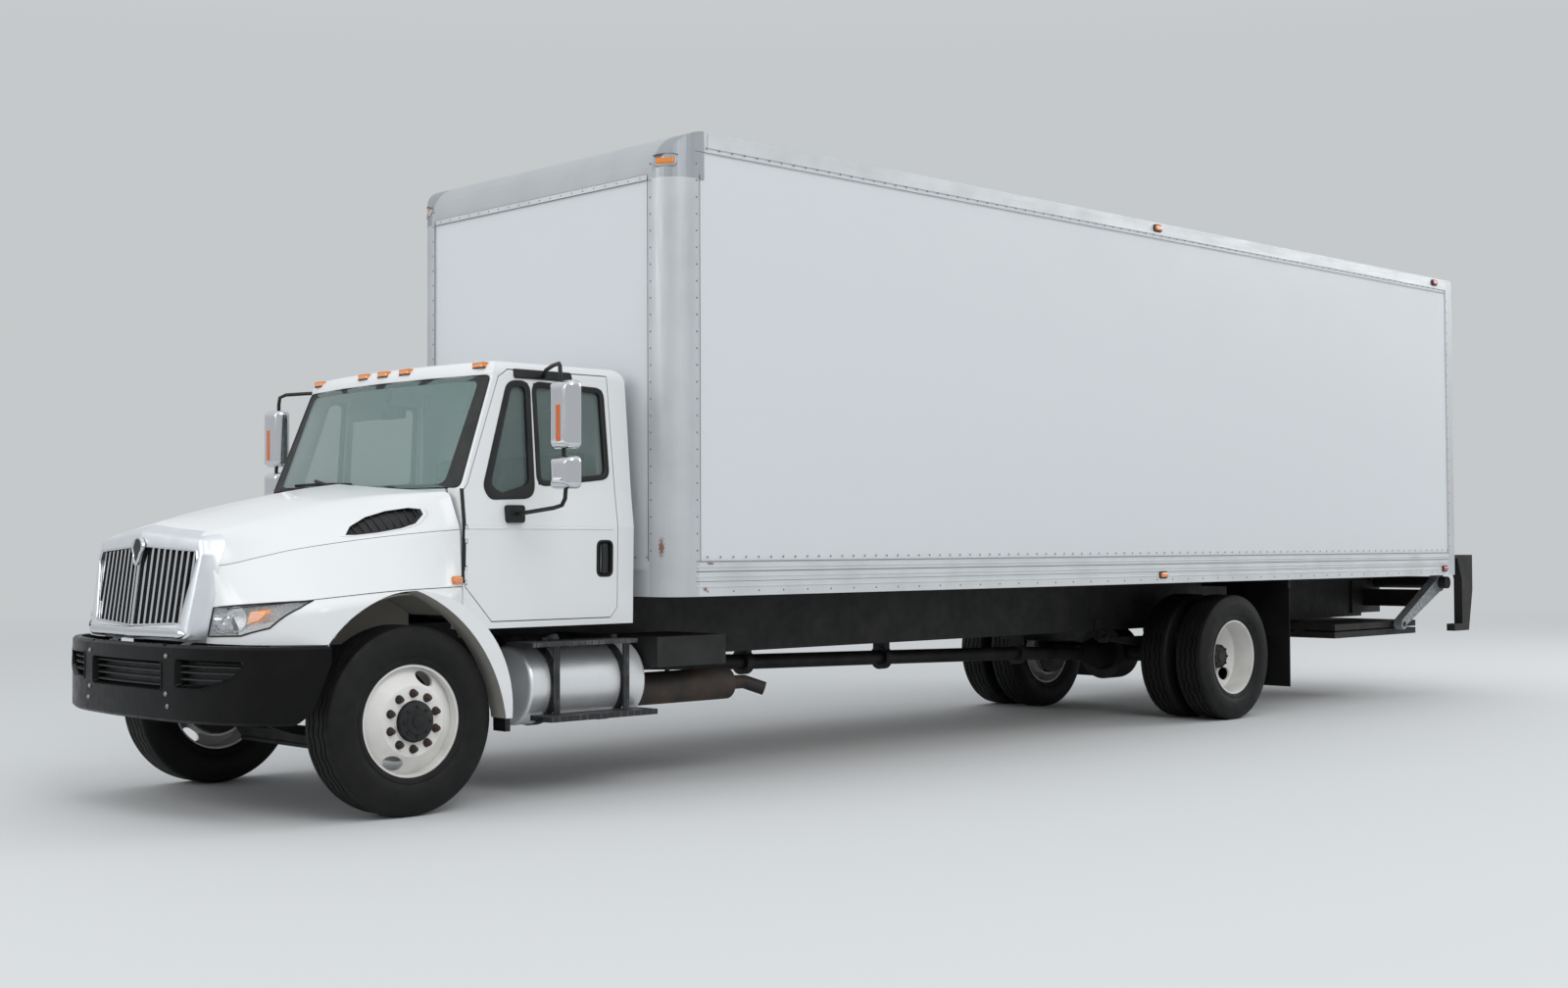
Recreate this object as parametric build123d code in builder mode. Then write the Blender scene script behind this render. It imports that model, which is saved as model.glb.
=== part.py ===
from build123d import *
import os
from math import cos, pi, sin

os.makedirs("parts", exist_ok=True)

# Driving dimensions of the whole truck, in millimetres
# X points forward, Y to the truck's left, Z up, and the ground is at Z = 0
front_overhang = 1020
cab_setback = 1570
cab_body_gap = 60
body_length = 9505
deck_length = 445
wheelbase = 7590
body_width = 2595
body_bottom = 1094
body_height = 2702

# Places along the truck that follow from them
overall_length = front_overhang + cab_setback + cab_body_gap + body_length + deck_length
front_axle_x = overall_length / 2 - front_overhang
rear_axle_x = front_axle_x - wheelbase
cab_rear_x = front_axle_x - cab_setback
body_front = cab_rear_x - cab_body_gap
body_rear = body_front - body_length
deck_rear = body_rear - deck_length
body_half = body_width / 2
body_top = body_bottom + body_height

# Clearances
running_gap = 0.3
panel_gap = 6

# Tyres and rims
tyre_radius = 492
tyre_half_width = 137.5
tread_half_width = 104
shoulder_width = 19
shoulder_drop = 24
bead_half_width = 96
bead_radius = 288
rim_half_width = 105
rim_flange_radius = 299
barrel_thickness = 9
disc_thickness = 12
disc_flat_radius = 172
bolt_face_radius = 112
hand_hole = (36, 58)
drum_radius = 205
drum_wall = 12
front_rim_centre = 1016
rear_outer_centre = 1092
dual_spacing = 330
front_disc_offset = 122
axle_height = tyre_radius
spindle_radius = 40
kingpin_y = 840
kingpin_radius = 20

# Frame
rail_outer = 432
rail_flange = 75
rail_thickness = 8
rail_bottom = 703
rail_top = 960
frame_front = front_axle_x + 760
frame_rear = body_rear + 140

# Cab
cab_half_width = 1030
sill_z = 945
cab_floor_z = 985
belt_z = 1500
scuttle_z = 1700
gutter_z = 2330
roof_rise = 84
door_thickness = 50
jamb_thickness = 50
glass_thickness = 6

# Box body
panel_thickness = 20
trim_thickness = 8
floor_thickness = 45
crossmember_height = 131
roof_thickness = 16
corner_radius = 174
nose_radius = 250
post_flange = 30
floor_bottom = body_bottom + crossmember_height
floor_top = floor_bottom + floor_thickness
panel_outer = body_half - trim_thickness
panel_front = body_front - trim_thickness
rear_frame_depth = 115


def side_view(y, origin_x=0):
    """Plane seen from the truck's right side: local x forward, local y up."""
    return Plane((origin_x, y, 0), x_dir=(1, 0, 0), z_dir=(0, -1, 0))


def prism(plane, points, length, mode=Mode.ADD):
    """Straight prism of a polygon drawn on a plane."""
    with BuildSketch(plane) as outline:
        with BuildLine():
            Polyline(points, close=True)
        make_face()
    extrude(outline.sketch, amount=length, mode=mode)


def side_prism(points, y_low, y_high, origin_x=0, mode=Mode.ADD):
    """Prism of (x, z) points between two values of y."""
    prism(side_view(y_high, origin_x), points, y_high - y_low, mode)


def front_prism(points, x_low, x_high, mode=Mode.ADD):
    """Prism of (y, z) points between two values of x."""
    prism(Plane.YZ.offset(x_low), points, x_high - x_low, mode)


def plan_prism(points, z_low, z_high, origin_x=0, mode=Mode.ADD):
    """Prism of (x, y) points between two heights."""
    prism(Plane((origin_x, 0, z_low)), points, z_high - z_low, mode)


def block(x_range, y_range, z_range, mode=Mode.ADD):
    """Box between two values of x, of y and of z, in any order."""
    ranges = (x_range, y_range, z_range)
    with Locations(tuple(sum(pair) / 2 for pair in ranges)):
        Box(*(abs(high - low) for low, high in ranges), mode=mode)


def rod(start, end, radius, mode=Mode.ADD):
    """Round bar from one point to another."""
    reach = Vector(*end) - Vector(*start)
    with BuildSketch(Plane(start, z_dir=reach)) as section:
        Circle(radius)
    extrude(section.sketch, amount=reach.length, mode=mode)


def both_ways(side, low, high):
    """The same two distances from the centre plane, on one side, in rising order."""
    return sorted((side * low, side * high))


def save(piece, name):
    """Label a finished piece and write it."""
    piece.part.label = name
    export_step(piece.part, f"parts/{name}.step")


SIDES = (("left", 1), ("right", -1))


# Wheels: a profile's points are (distance outwards along the axle, radius)
def wheel_plane(axle_x, y, side):
    """Plane through an axle whose local x points away from the truck."""
    return Plane((axle_x, side * y, axle_height), x_dir=(0, side, 0), z_dir=(side, 0, 0))


def spin(axle_x, y, side, points, mode=Mode.ADD):
    """Turn a profile about an axle."""
    with BuildSketch(wheel_plane(axle_x, y, side)) as outline:
        with BuildLine():
            Polyline(points, close=True)
        make_face()
    revolve(outline.sketch, axis=Axis((axle_x, 0, axle_height), (0, 1, 0)), mode=mode)


def tyre_ring(axle_x, y, side):
    """One tyre with a flat tread, sloping shoulders and bulging walls."""
    wall_root = (bead_half_width, rim_flange_radius + 2)
    wall_bulge = (tyre_half_width, (tyre_radius + rim_flange_radius) / 2)
    wall_top = (tread_half_width + shoulder_width, tyre_radius - shoulder_drop)
    with BuildSketch(wheel_plane(axle_x, y, side)) as section:
        with BuildLine() as half:
            Line((0, bead_radius), (bead_half_width, bead_radius))
            Line((bead_half_width, bead_radius), wall_root)
            ThreePointArc(wall_root, wall_bulge, wall_top)
            Line(wall_top, (tread_half_width, tyre_radius))
            Line((tread_half_width, tyre_radius), (0, tyre_radius))
            mirror(half.line, about=Plane.YZ)
        make_face()
    revolve(section.sketch, axis=Axis((axle_x, 0, axle_height), (0, 1, 0)))


def rim(axle_x, y, side, root, face):
    """Rim barrel with two flanges, and a dished disc from the barrel to its bolting face."""
    seat = bead_radius - running_gap
    inner = bead_radius - barrel_thickness
    lip = bead_half_width + 2
    spin(axle_x, y, side, [
        (-rim_half_width, rim_flange_radius), (-lip, rim_flange_radius), (-lip, seat),
        (lip, seat), (lip, rim_flange_radius), (rim_half_width, rim_flange_radius),
        (rim_half_width, inner), (-rim_half_width, inner)])
    step = disc_thickness if face > root else -disc_thickness
    spin(axle_x, y, side, [
        (root - step, inner + 1), (root + step / 2, inner + 1), (face, disc_flat_radius + 10),
        (face, bolt_face_radius - 30), (face - step, bolt_face_radius - 30),
        (face - step, disc_flat_radius)])


def hand_holes(axle_x, y_low, y_high, side, count, first_angle):
    """Oval hand holes through a disc."""
    low, high = both_ways(side, y_low, y_high)
    ring = (disc_flat_radius + bead_radius) / 2 + 2
    with BuildSketch(side_view(high, axle_x)) as holes:
        with Locations((0, axle_height)):
            with PolarLocations(ring, count, start_angle=first_angle):
                Ellipse(*hand_hole)
    extrude(holes.sketch, amount=high - low, mode=Mode.SUBTRACT)


# Front wheels: the disc is dished outwards, and the hub runs on the spindle
hub_bore = spindle_radius + running_gap
for name, side in SIDES:
    with BuildPart() as front_tyre:
        tyre_ring(front_axle_x, front_rim_centre, side)
    save(front_tyre, f"tyre_front_{name}")

    with BuildPart() as front_rim:
        rim(front_axle_x, front_rim_centre, side, 40, front_disc_offset)
        hand_holes(front_axle_x, front_rim_centre, front_rim_centre + 200, side, 2, 114)
        spin(front_axle_x, front_rim_centre, side, [
            (-80, hub_bore), (-80, 90), (-28, 90), (-28, drum_radius),
            (-90, drum_radius), (-90, drum_radius + drum_wall), (-16, drum_radius + drum_wall),
            (-16, 90), (front_disc_offset - disc_thickness, 90),
            (front_disc_offset - disc_thickness, bolt_face_radius),
            (front_disc_offset + 6, bolt_face_radius), (front_disc_offset + 32, 100),
            (front_disc_offset + 44, 64), (front_disc_offset + 44, 0), (60, 0), (60, hub_bore)])
    save(front_rim, f"rim_front_{name}")

# Rear wheels: two rims and tyres a side, their discs back to back on one hub
rear_bolt_face = rear_outer_centre - dual_spacing / 2
rear_inner_centre = rear_outer_centre - dual_spacing
for name, side in SIDES:
    with BuildPart() as rear_tyres:
        tyre_ring(rear_axle_x, rear_outer_centre, side)
        tyre_ring(rear_axle_x, rear_inner_centre, side)
    save(rear_tyres, f"tyres_rear_{name}")

    with BuildPart() as rear_rims:
        rim(rear_axle_x, rear_outer_centre, side, -80, -dual_spacing / 2)
        rim(rear_axle_x, rear_inner_centre, side, 80, dual_spacing / 2)
        hand_holes(rear_axle_x, rear_inner_centre, rear_outer_centre, side, 2, 40)
        spin(rear_axle_x, rear_bolt_face, side, [
            (-230, spindle_radius + running_gap), (-230, 95), (-150, 95), (-150, drum_radius),
            (-290, drum_radius), (-290, drum_radius + drum_wall), (-138, drum_radius + drum_wall),
            (-138, 95), (-disc_thickness, 95), (-disc_thickness, bolt_face_radius),
            (disc_thickness + 8, bolt_face_radius), (disc_thickness + 8, 100), (140, 92),
            (150, 84), (150, 0), (40, 0), (40, spindle_radius + running_gap)])
    save(rear_rims, f"rims_rear_{name}")


# Steering knuckles: a yoke round the axle's end, the spindle and a steering arm
yoke_low = (400, 434)
yoke_high = (551, 585)
boss_low = 440
boss_high = 545
yoke_radius = 44
backplate_y = 908
arm_reach = 170
arm_pin_radius = 11
arm_thickness = 24
spindle_end = front_rim_centre + 50
for name, side in SIDES:
    with BuildPart() as knuckle:
        for low, high in (yoke_low, yoke_high):
            with BuildSketch(Plane((front_axle_x, side * kingpin_y, low))) as ear:
                Circle(yoke_radius)
                with Locations((0, side * yoke_radius / 2)):
                    Rectangle(2 * yoke_radius, yoke_radius + 1)
            extrude(ear.sketch, amount=high - low)
        block((front_axle_x - yoke_radius, front_axle_x + yoke_radius),
              (side * (kingpin_y + yoke_radius), side * backplate_y), (yoke_low[0], yoke_high[1]))
        rod((front_axle_x, side * kingpin_y, yoke_low[0]),
            (front_axle_x, side * kingpin_y, yoke_high[1]), kingpin_radius)
        rod((front_axle_x, side * (backplate_y - 2), axle_height),
            (front_axle_x, side * spindle_end, axle_height), spindle_radius)
        rod((front_axle_x, side * (backplate_y - 6), axle_height),
            (front_axle_x, side * backplate_y, axle_height), drum_radius - 8)
        block((front_axle_x - arm_reach, front_axle_x - yoke_radius + 8),
              (side * (kingpin_y - 16), side * (kingpin_y + 16)),
              (yoke_low[0], yoke_low[0] + arm_thickness))
        rod((front_axle_x - arm_reach, side * kingpin_y, yoke_low[0]),
            (front_axle_x - arm_reach, side * kingpin_y, yoke_low[0] + arm_thickness), 24)
        rod((front_axle_x - arm_reach, side * kingpin_y, yoke_low[0] - 1),
            (front_axle_x - arm_reach, side * kingpin_y, yoke_low[1]),
            arm_pin_radius + running_gap, mode=Mode.SUBTRACT)
    save(knuckle, f"knuckle_{name}")

# Tie rod between the two steering arms
tie_rod_z = 340
tie_rod_radius = 17
with BuildPart() as tie_rod:
    tie_rod_x = front_axle_x - arm_reach
    rod((tie_rod_x, -kingpin_y, tie_rod_z), (tie_rod_x, kingpin_y, tie_rod_z), tie_rod_radius)
    for name, side in SIDES:
        rod((tie_rod_x, side * kingpin_y, tie_rod_z - 22),
            (tie_rod_x, side * kingpin_y, yoke_low[0] - running_gap), 26)
        rod((tie_rod_x, side * kingpin_y, tie_rod_z),
            (tie_rod_x, side * kingpin_y, yoke_low[0] + arm_thickness + 8), arm_pin_radius)
save(tie_rod, "tie_rod")

# Front axle beam: dropped in the middle, with a boss for each kingpin
beam_low = 285
beam_high = 365
beam_half_depth = 45
spring_y = 415
spring_half_width = 38
with BuildPart() as front_axle:
    for name, side in SIDES:
        front_prism([
            (0, beam_low), (side * 560, beam_low), (side * (kingpin_y - 90), 430),
            (side * kingpin_y, boss_low + 15), (side * kingpin_y, boss_high - 15),
            (side * (kingpin_y - 110), 520), (side * 520, beam_high), (0, beam_high)],
            front_axle_x - beam_half_depth + 12, front_axle_x + beam_half_depth - 12)
        front_prism([
            (0, beam_low), (side * 560, beam_low), (side * 570, beam_low + 18), (0, beam_low + 18)],
            front_axle_x - beam_half_depth, front_axle_x + beam_half_depth)
        front_prism([
            (0, beam_high - 18), (side * 505, beam_high - 18), (side * 515, beam_high),
            (0, beam_high)],
            front_axle_x - beam_half_depth, front_axle_x + beam_half_depth)
        rod((front_axle_x, side * kingpin_y, boss_low), (front_axle_x, side * kingpin_y, boss_high),
            yoke_radius - 4)
        rod((front_axle_x, side * kingpin_y, boss_low), (front_axle_x, side * kingpin_y, boss_high),
            kingpin_radius + running_gap, mode=Mode.SUBTRACT)
save(front_axle, "front_axle")

# Rear axle: a tube with spindles, a banjo housing and the nose of the drive pinion
axle_tube_radius = 68
rear_tube_end = rear_bolt_face - 330
banjo_radius = 220
pinion_reach = 430
with BuildPart() as rear_axle:
    rod((rear_axle_x, -rear_tube_end, axle_height), (rear_axle_x, rear_tube_end, axle_height),
        axle_tube_radius)
    rod((rear_axle_x, -rear_bolt_face, axle_height), (rear_axle_x, rear_bolt_face, axle_height),
        spindle_radius)
    for name, side in SIDES:
        rod((rear_axle_x, side * (rear_tube_end - 10), axle_height),
            (rear_axle_x, side * rear_tube_end, axle_height), drum_radius - 8)
    with BuildSketch(Plane((rear_axle_x - 150, 0, axle_height), x_dir=(0, 1, 0),
                           z_dir=(1, 0, 0))) as banjo:
        Circle(banjo_radius)
    extrude(banjo.sketch, amount=260)
    fillet(faces().sort_by(Axis.X)[0].edges(), 60)
    with BuildSketch(Plane((rear_axle_x + 100, 0, axle_height), x_dir=(0, 1, 0),
                           z_dir=(1, 0, 0))) as nose_root:
        Circle(150)
    with BuildSketch(Plane((rear_axle_x + pinion_reach, 0, axle_height), x_dir=(0, 1, 0),
                           z_dir=(1, 0, 0))) as nose_end:
        Circle(62)
    loft(sections=[nose_root.sketch, nose_end.sketch])
save(rear_axle, "rear_axle")

# Leaf springs: (axle x, spring y, half length, eye height, seat height, pack thickness)
front_seat = beam_high
rear_seat = axle_height + axle_tube_radius
rear_spring_y = rail_outer + spring_half_width + 22
spring_table = (
    (front_axle_x, spring_y, 680, 590, front_seat, 56),
    (rear_axle_x, rear_spring_y, 760, 640, rear_seat, 84),
)
with BuildPart() as leaf_springs:
    for axle_x, y, half_length, eye_z, seat_z, thickness in spring_table:
        for name, side in SIDES:
            low, high = both_ways(side, y - spring_half_width, y + spring_half_width)
            with BuildSketch(side_view(high, axle_x)) as leaf:
                with BuildLine():
                    ThreePointArc((-half_length, eye_z + 14), (0, seat_z + thickness),
                                  (half_length, eye_z + 14))
                    Line((half_length, eye_z + 14), (half_length, eye_z - 2))
                    ThreePointArc((half_length, eye_z - 2), (0, seat_z), (-half_length, eye_z - 2))
                    Line((-half_length, eye_z - 2), (-half_length, eye_z + 14))
                make_face()
            extrude(leaf.sketch, amount=high - low)
            for end in (-1, 1):
                eye_x = axle_x + end * half_length
                rod((eye_x, low, eye_z), (eye_x, high, eye_z), 30)
                hanger_top = rail_bottom + 90
                block((eye_x - 45, eye_x + 45), (side * rail_outer, side * (rail_outer + 14)),
                      (eye_z, hanger_top))
                block((eye_x - 30, eye_x + 30),
                      (side * (rail_outer - 6), side * max(y, rail_outer + 14)),
                      (eye_z - 10, rail_bottom - 4))
save(leaf_springs, "leaf_springs")

# Frame: two channels, their crossmembers and the front bumper's carriers
crossmember_places = (660, -1460, -3390, -4780, -6350, -8300, -9250, -10250)
with BuildPart() as frame_rails:
    for name, side in SIDES:
        web = rail_outer - rail_thickness
        tip = rail_outer - rail_flange
        front_prism([(side * y, z) for y, z in (
            (rail_outer, rail_bottom), (rail_outer, rail_top), (tip, rail_top),
            (tip, rail_top - rail_thickness), (web, rail_top - rail_thickness),
            (web, rail_bottom + rail_thickness), (tip, rail_bottom + rail_thickness),
            (tip, rail_bottom))], frame_rear, frame_front)
    for place in crossmember_places:
        x = front_axle_x + place
        block((x - 30, x + 30), (-web, web), (rail_bottom + 40, rail_top - 40))
save(frame_rails, "frame_rails")

# Engine with its gearbox, one plain block at its real place, and the radiator
engine_half_width = 280
engine_rear = front_axle_x - 290
with BuildPart() as engine:
    block((engine_rear, front_axle_x + 540), (-engine_half_width, engine_half_width), (640, 1290))
    block((front_axle_x - 1290, engine_rear), (-190, 190), (600, 930))
    for name, side in SIDES:
        block((front_axle_x - 40, front_axle_x + 40),
              (side * engine_half_width, side * (rail_outer - rail_thickness)), (760, 820))
    block((front_axle_x + 600, front_axle_x + 680), (-380, 380), (rail_top, 1330))
save(engine, "engine")

# Propeller shaft: (x, z) of its joints and carrier bearings behind the front axle
shaft_radius = 52
bearing_radius = 85
shaft_joints = ((-1300, 690), (-3390, 596), (-4780, 566), (-6350, 530), (-7155, axle_height))
with BuildPart() as driveshaft:
    for (x_front, z_front), (x_back, z_back) in zip(shaft_joints, shaft_joints[1:]):
        rod((front_axle_x + x_front, 0, z_front), (front_axle_x + x_back, 0, z_back), shaft_radius)
    for x, z in shaft_joints[1:4]:
        bearing_x = front_axle_x + x
        rod((bearing_x - 30, 0, z), (bearing_x + 30, 0, z), bearing_radius)
        block((bearing_x - 25, bearing_x + 25), (-60, 60), (z, rail_bottom + 40))
save(driveshaft, "driveshaft")

# Front bumper: a curved shell with a central mouth and two lamp pockets
bumper_low = 512
bumper_high = 900
bumper_wall = 45
bumper_end = 500
bumper_half = 1180
hood_pivot_x = front_axle_x + 970
hood_pivot_z = 845
hood_pin = 12
bumper_edge = 14
lug_y = (398, 412)
fog_points = ((520, 688), (720, 690), (890, 738), (962, 800), (955, 826), (520, 830))


def bumper_plan(inset):
    """Plan outline of the bumper, set in from its skin."""
    reach = front_overhang - inset
    half = bumper_half - inset
    with BuildLine() as edge:
        face_arc = TangentArc((reach, 0), (reach - 24, 500), tangent=(0, 1))
        side_arc = TangentArc(face_arc @ 1, (reach - 145, 940 - inset * 0.43), tangent=face_arc % 1)
        TangentArc(side_arc @ 1, (bumper_end, half), tangent=side_arc % 1)
        Line((bumper_end, half), (bumper_end, 0))
        mirror(about=Plane.XZ)
    make_face(edge.edges())


with BuildPart() as bumper:
    with BuildSketch(Plane((front_axle_x, 0, bumper_low))) as bumper_outer:
        bumper_plan(0)
    extrude(bumper_outer.sketch, amount=bumper_high - bumper_low)
    for rim_face in (faces().sort_by(Axis.Z)[0], faces().sort_by(Axis.Z)[-1]):
        chamfer(rim_face.edges().filter_by(GeomType.LINE, reverse=True), bumper_edge)
    with BuildSketch(Plane((front_axle_x, 0, bumper_low))) as bumper_inner:
        bumper_plan(bumper_wall)
    extrude(bumper_inner.sketch, amount=bumper_high - bumper_low, mode=Mode.SUBTRACT)
    side_prism([(bumper_end - 10, bumper_high - 60), (bumper_end - 10, bumper_low - 10),
                (bumper_end + 190, bumper_low - 10), (bumper_end + 100, bumper_low + 60)],
               -bumper_half - 10, bumper_half + 10, front_axle_x, mode=Mode.SUBTRACT)
    block((front_axle_x + 900, front_axle_x + front_overhang + 10), (-390, 390), (670, 815),
          mode=Mode.SUBTRACT)
    for name, side in SIDES:
        front_prism([(side * y, z) for y, z in fog_points], front_axle_x + 700,
                    front_axle_x + front_overhang + 10, mode=Mode.SUBTRACT)
        block((front_axle_x + 800, hood_pivot_x + 28), (side * (lug_y[0] - 6), side * (lug_y[1] + 6)),
              (hood_pivot_z - 26, bumper_high + 5), mode=Mode.SUBTRACT)
        block((frame_front, front_axle_x + front_overhang - bumper_wall - 10),
              (side * (rail_outer - 40), side * rail_outer), (rail_bottom, rail_top - 150))
        block((hood_pivot_x - 22, hood_pivot_x + 20), (side * (lug_y[1] + 4), side * rail_outer),
              (rail_bottom + 40, hood_pivot_z + 14))
        rod((hood_pivot_x, side * (lug_y[0] - 4), hood_pivot_z),
            (hood_pivot_x, side * (lug_y[1] + 8), hood_pivot_z), hood_pin)
save(bumper, "bumper")


# Cab: (height, half width, x of the front corners, x of the middle of the front)
cab_levels = (
    (sill_z, cab_half_width - 10, -388, -378),
    (belt_z, cab_half_width, -385, -340),
    (scuttle_z, cab_half_width - 25, -395, -290),
    (gutter_z, cab_half_width - 81, -636, -531),
)


def cab_envelope(inset, top, mode=Mode.ADD):
    """Outside of the cab, set in by a wall thickness, up to the height given."""
    faces_up = []
    for height, half_width, corner_x, middle_x in cab_levels:
        half = half_width - inset
        with BuildSketch(Plane((front_axle_x, 0, height))) as level:
            with BuildLine():
                ThreePointArc((corner_x - inset, -half), (middle_x - inset, 0),
                              (corner_x - inset, half))
                Line((corner_x - inset, half), (inset - cab_setback, half))
                Line((inset - cab_setback, half), (inset - cab_setback, -half))
                Line((inset - cab_setback, -half), (corner_x - inset, -half))
            make_face()
            fillet(level.vertices(), 6)
        faces_up.append(level.sketch)
    loft(sections=faces_up, ruled=True, mode=mode)
    extrude(faces_up[-1], amount=top - gutter_z, mode=mode)


far = cab_half_width + 50
cab_top = gutter_z + roof_rise
with BuildPart() as cab_outside:
    cab_envelope(0, gutter_z + roof_rise)
    roof_edges = faces().sort_by(Axis.Z)[-1].edges()
    fillet(roof_edges, 78)

with BuildPart() as cab_lining:
    cab_envelope(door_thickness, gutter_z + roof_rise - 30)

with BuildPart() as cab_space:
    cab_envelope(door_thickness + panel_gap + jamb_thickness, gutter_z + roof_rise - 40)


def width_prism(inset, mode=Mode.ADD):
    """Full length of the cab between its side skins, set in by a wall thickness."""
    left = [(half - inset, height) for height, half, corner_x, middle_x in cab_levels]
    left = [(left[0][0], sill_z - 20)] + left + [(left[-1][0], cab_top + 20)]
    right = [(-y, z) for y, z in reversed(left)]
    front_prism(left + right, cab_rear_x - 20, front_axle_x, mode)


with BuildPart() as glass_lining:
    cab_envelope(glass_thickness, gutter_z + roof_rise)

# Door outline and window outlines: (x, z) behind the front axle
door_points = (
    (-404, 1175), (-404, 1690), (-432, 1722), (-672, 2318), (-736, 2362),
    (-1430, 2362), (-1446, 1530), (-1446, 1040), (-1400, 985), (-578, 985))
vent_window = ((-558, 1712), (-652, 1656), (-862, 1714), (-870, 2296), (-742, 2290))
main_window = ((-904, 1728), (-1401, 1780), (-1393, 2284), (-904, 2297))
pillar_y = 880
brow_z = gutter_z - 4
roof_seam_z = gutter_z + 46
brow_x = front_axle_x - 760
back_window = (-470, 470, 1760, 2220)


def offset_prism(outlines, grow, y_low, y_high, mode):
    """Prism of side-view outlines made larger or smaller all round."""
    with BuildSketch(side_view(y_high, front_axle_x)) as outline:
        for points in outlines:
            with BuildLine():
                Polyline(points, close=True)
            make_face()
        if grow:
            offset(amount=grow, kind=Kind.INTERSECTION)
    extrude(outline.sketch, amount=y_high - y_low, mode=mode)


jamb_lap = 35
hinge_x = front_axle_x - 401
hinge_y = cab_half_width
hinge_heights = (1235, 1455)
hinge_half = 25
hinge_pin = 5
with BuildPart() as door_pocket:
    add(cab_outside.part)
    width_prism(door_thickness + panel_gap, Mode.SUBTRACT)
    offset_prism((door_points,), panel_gap, -far, far, Mode.INTERSECT)

with BuildPart() as cab_sides:
    add(cab_outside.part)
    width_prism(door_thickness + panel_gap + jamb_thickness, Mode.SUBTRACT)
    block((cab_rear_x - 20, front_axle_x), (-pillar_y, pillar_y),
          (sill_z - 10, cab_top + 50), mode=Mode.SUBTRACT)
    block((cab_rear_x - 20, front_axle_x), (-far, far), (roof_seam_z, cab_top + 50),
          mode=Mode.SUBTRACT)
    offset_prism((door_points,), -jamb_lap, -far, far, Mode.SUBTRACT)
    add(door_pocket.part, mode=Mode.SUBTRACT)
    for name, side in SIDES:
        for z in hinge_heights:
            hinge_z = (z - hinge_half, z + hinge_half)
            block((hinge_x, hinge_x + 14), (side * (hinge_y - 18), side * far),
                  (hinge_z[0] - 5, hinge_z[1] + 5), mode=Mode.SUBTRACT)
            rod((hinge_x, side * hinge_y, hinge_z[0] - 20), (hinge_x, side * hinge_y, hinge_z[1] + 20),
                hinge_pin)
            for foot in (hinge_z[0] - 20, hinge_z[1] + 5):
                block((hinge_x - hinge_pin, hinge_x + hinge_pin),
                      (side * (hinge_y - door_thickness - 14), side * (hinge_y + hinge_pin)),
                      (foot, foot + 15))
save(cab_sides, "cab_sides")

# Roof, back wall with its window opening, and the front wall under the windshield
back_wall_front = cab_rear_x + door_thickness
with BuildPart() as cab_roof:
    add(cab_outside.part)
    add(cab_space.part, mode=Mode.SUBTRACT)
    block((cab_rear_x - 20, front_axle_x), (-far, far), (sill_z - 10, brow_z),
          mode=Mode.SUBTRACT)
    block((cab_rear_x - 20, brow_x), (-far, far), (brow_z - 1, roof_seam_z), mode=Mode.SUBTRACT)
    for name, side in SIDES:
        block((brow_x - 1, front_axle_x), (side * pillar_y, side * far), (brow_z - 1, roof_seam_z),
              mode=Mode.SUBTRACT)
save(cab_roof, "cab_roof")

with BuildPart() as cab_back_wall:
    add(cab_outside.part)
    add(cab_lining.part, mode=Mode.SUBTRACT)
    block((cab_rear_x - 10, back_wall_front), (-pillar_y, pillar_y), (cab_floor_z, roof_seam_z),
          mode=Mode.INTERSECT)
    y_low, y_high, z_low, z_high = back_window
    block((cab_rear_x - 20, back_wall_front + 20), (y_low, y_high), (z_low, z_high),
          mode=Mode.SUBTRACT)

toe_x = -585
firewall_foot_z = 1175
with BuildPart() as cab_front_wall:
    add(cab_outside.part)
    add(cab_lining.part, mode=Mode.SUBTRACT)
    block((front_axle_x - 560, front_axle_x), (-pillar_y, pillar_y),
          (firewall_foot_z, scuttle_z), mode=Mode.INTERSECT)

with BuildPart() as cab_end_walls:
    add(cab_back_wall.part)
    add(cab_front_wall.part)
save(cab_end_walls, "cab_end_walls")

with BuildPart() as cab_floor:
    side_prism([
        (door_thickness - cab_setback, cab_floor_z), (toe_x, cab_floor_z),
        (-400, firewall_foot_z - 40), (-400, firewall_foot_z), (-440, firewall_foot_z),
        (toe_x - 15, cab_floor_z + 40), (door_thickness - cab_setback, cab_floor_z + 40)],
        -pillar_y, pillar_y, front_axle_x)
    for place in (-800, -1400):
        x = front_axle_x + place
        for name, side in SIDES:
            block((x - 50, x + 50), (side * (rail_outer - rail_flange), side * rail_outer),
                  (rail_top, cab_floor_z + 1))
save(cab_floor, "cab_floor")

# Glass: windshield between the pillars, and the back window
with BuildPart() as cab_glass:
    add(cab_outside.part)
    add(glass_lining.part, mode=Mode.SUBTRACT)
    block((brow_x, front_axle_x), (-pillar_y, pillar_y), (scuttle_z, brow_z),
          mode=Mode.INTERSECT)
    glass_x = cab_rear_x + door_thickness / 2
    block((glass_x, glass_x + glass_thickness), (y_low, y_high), (z_low, z_high))
save(cab_glass, "cab_glass")


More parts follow.
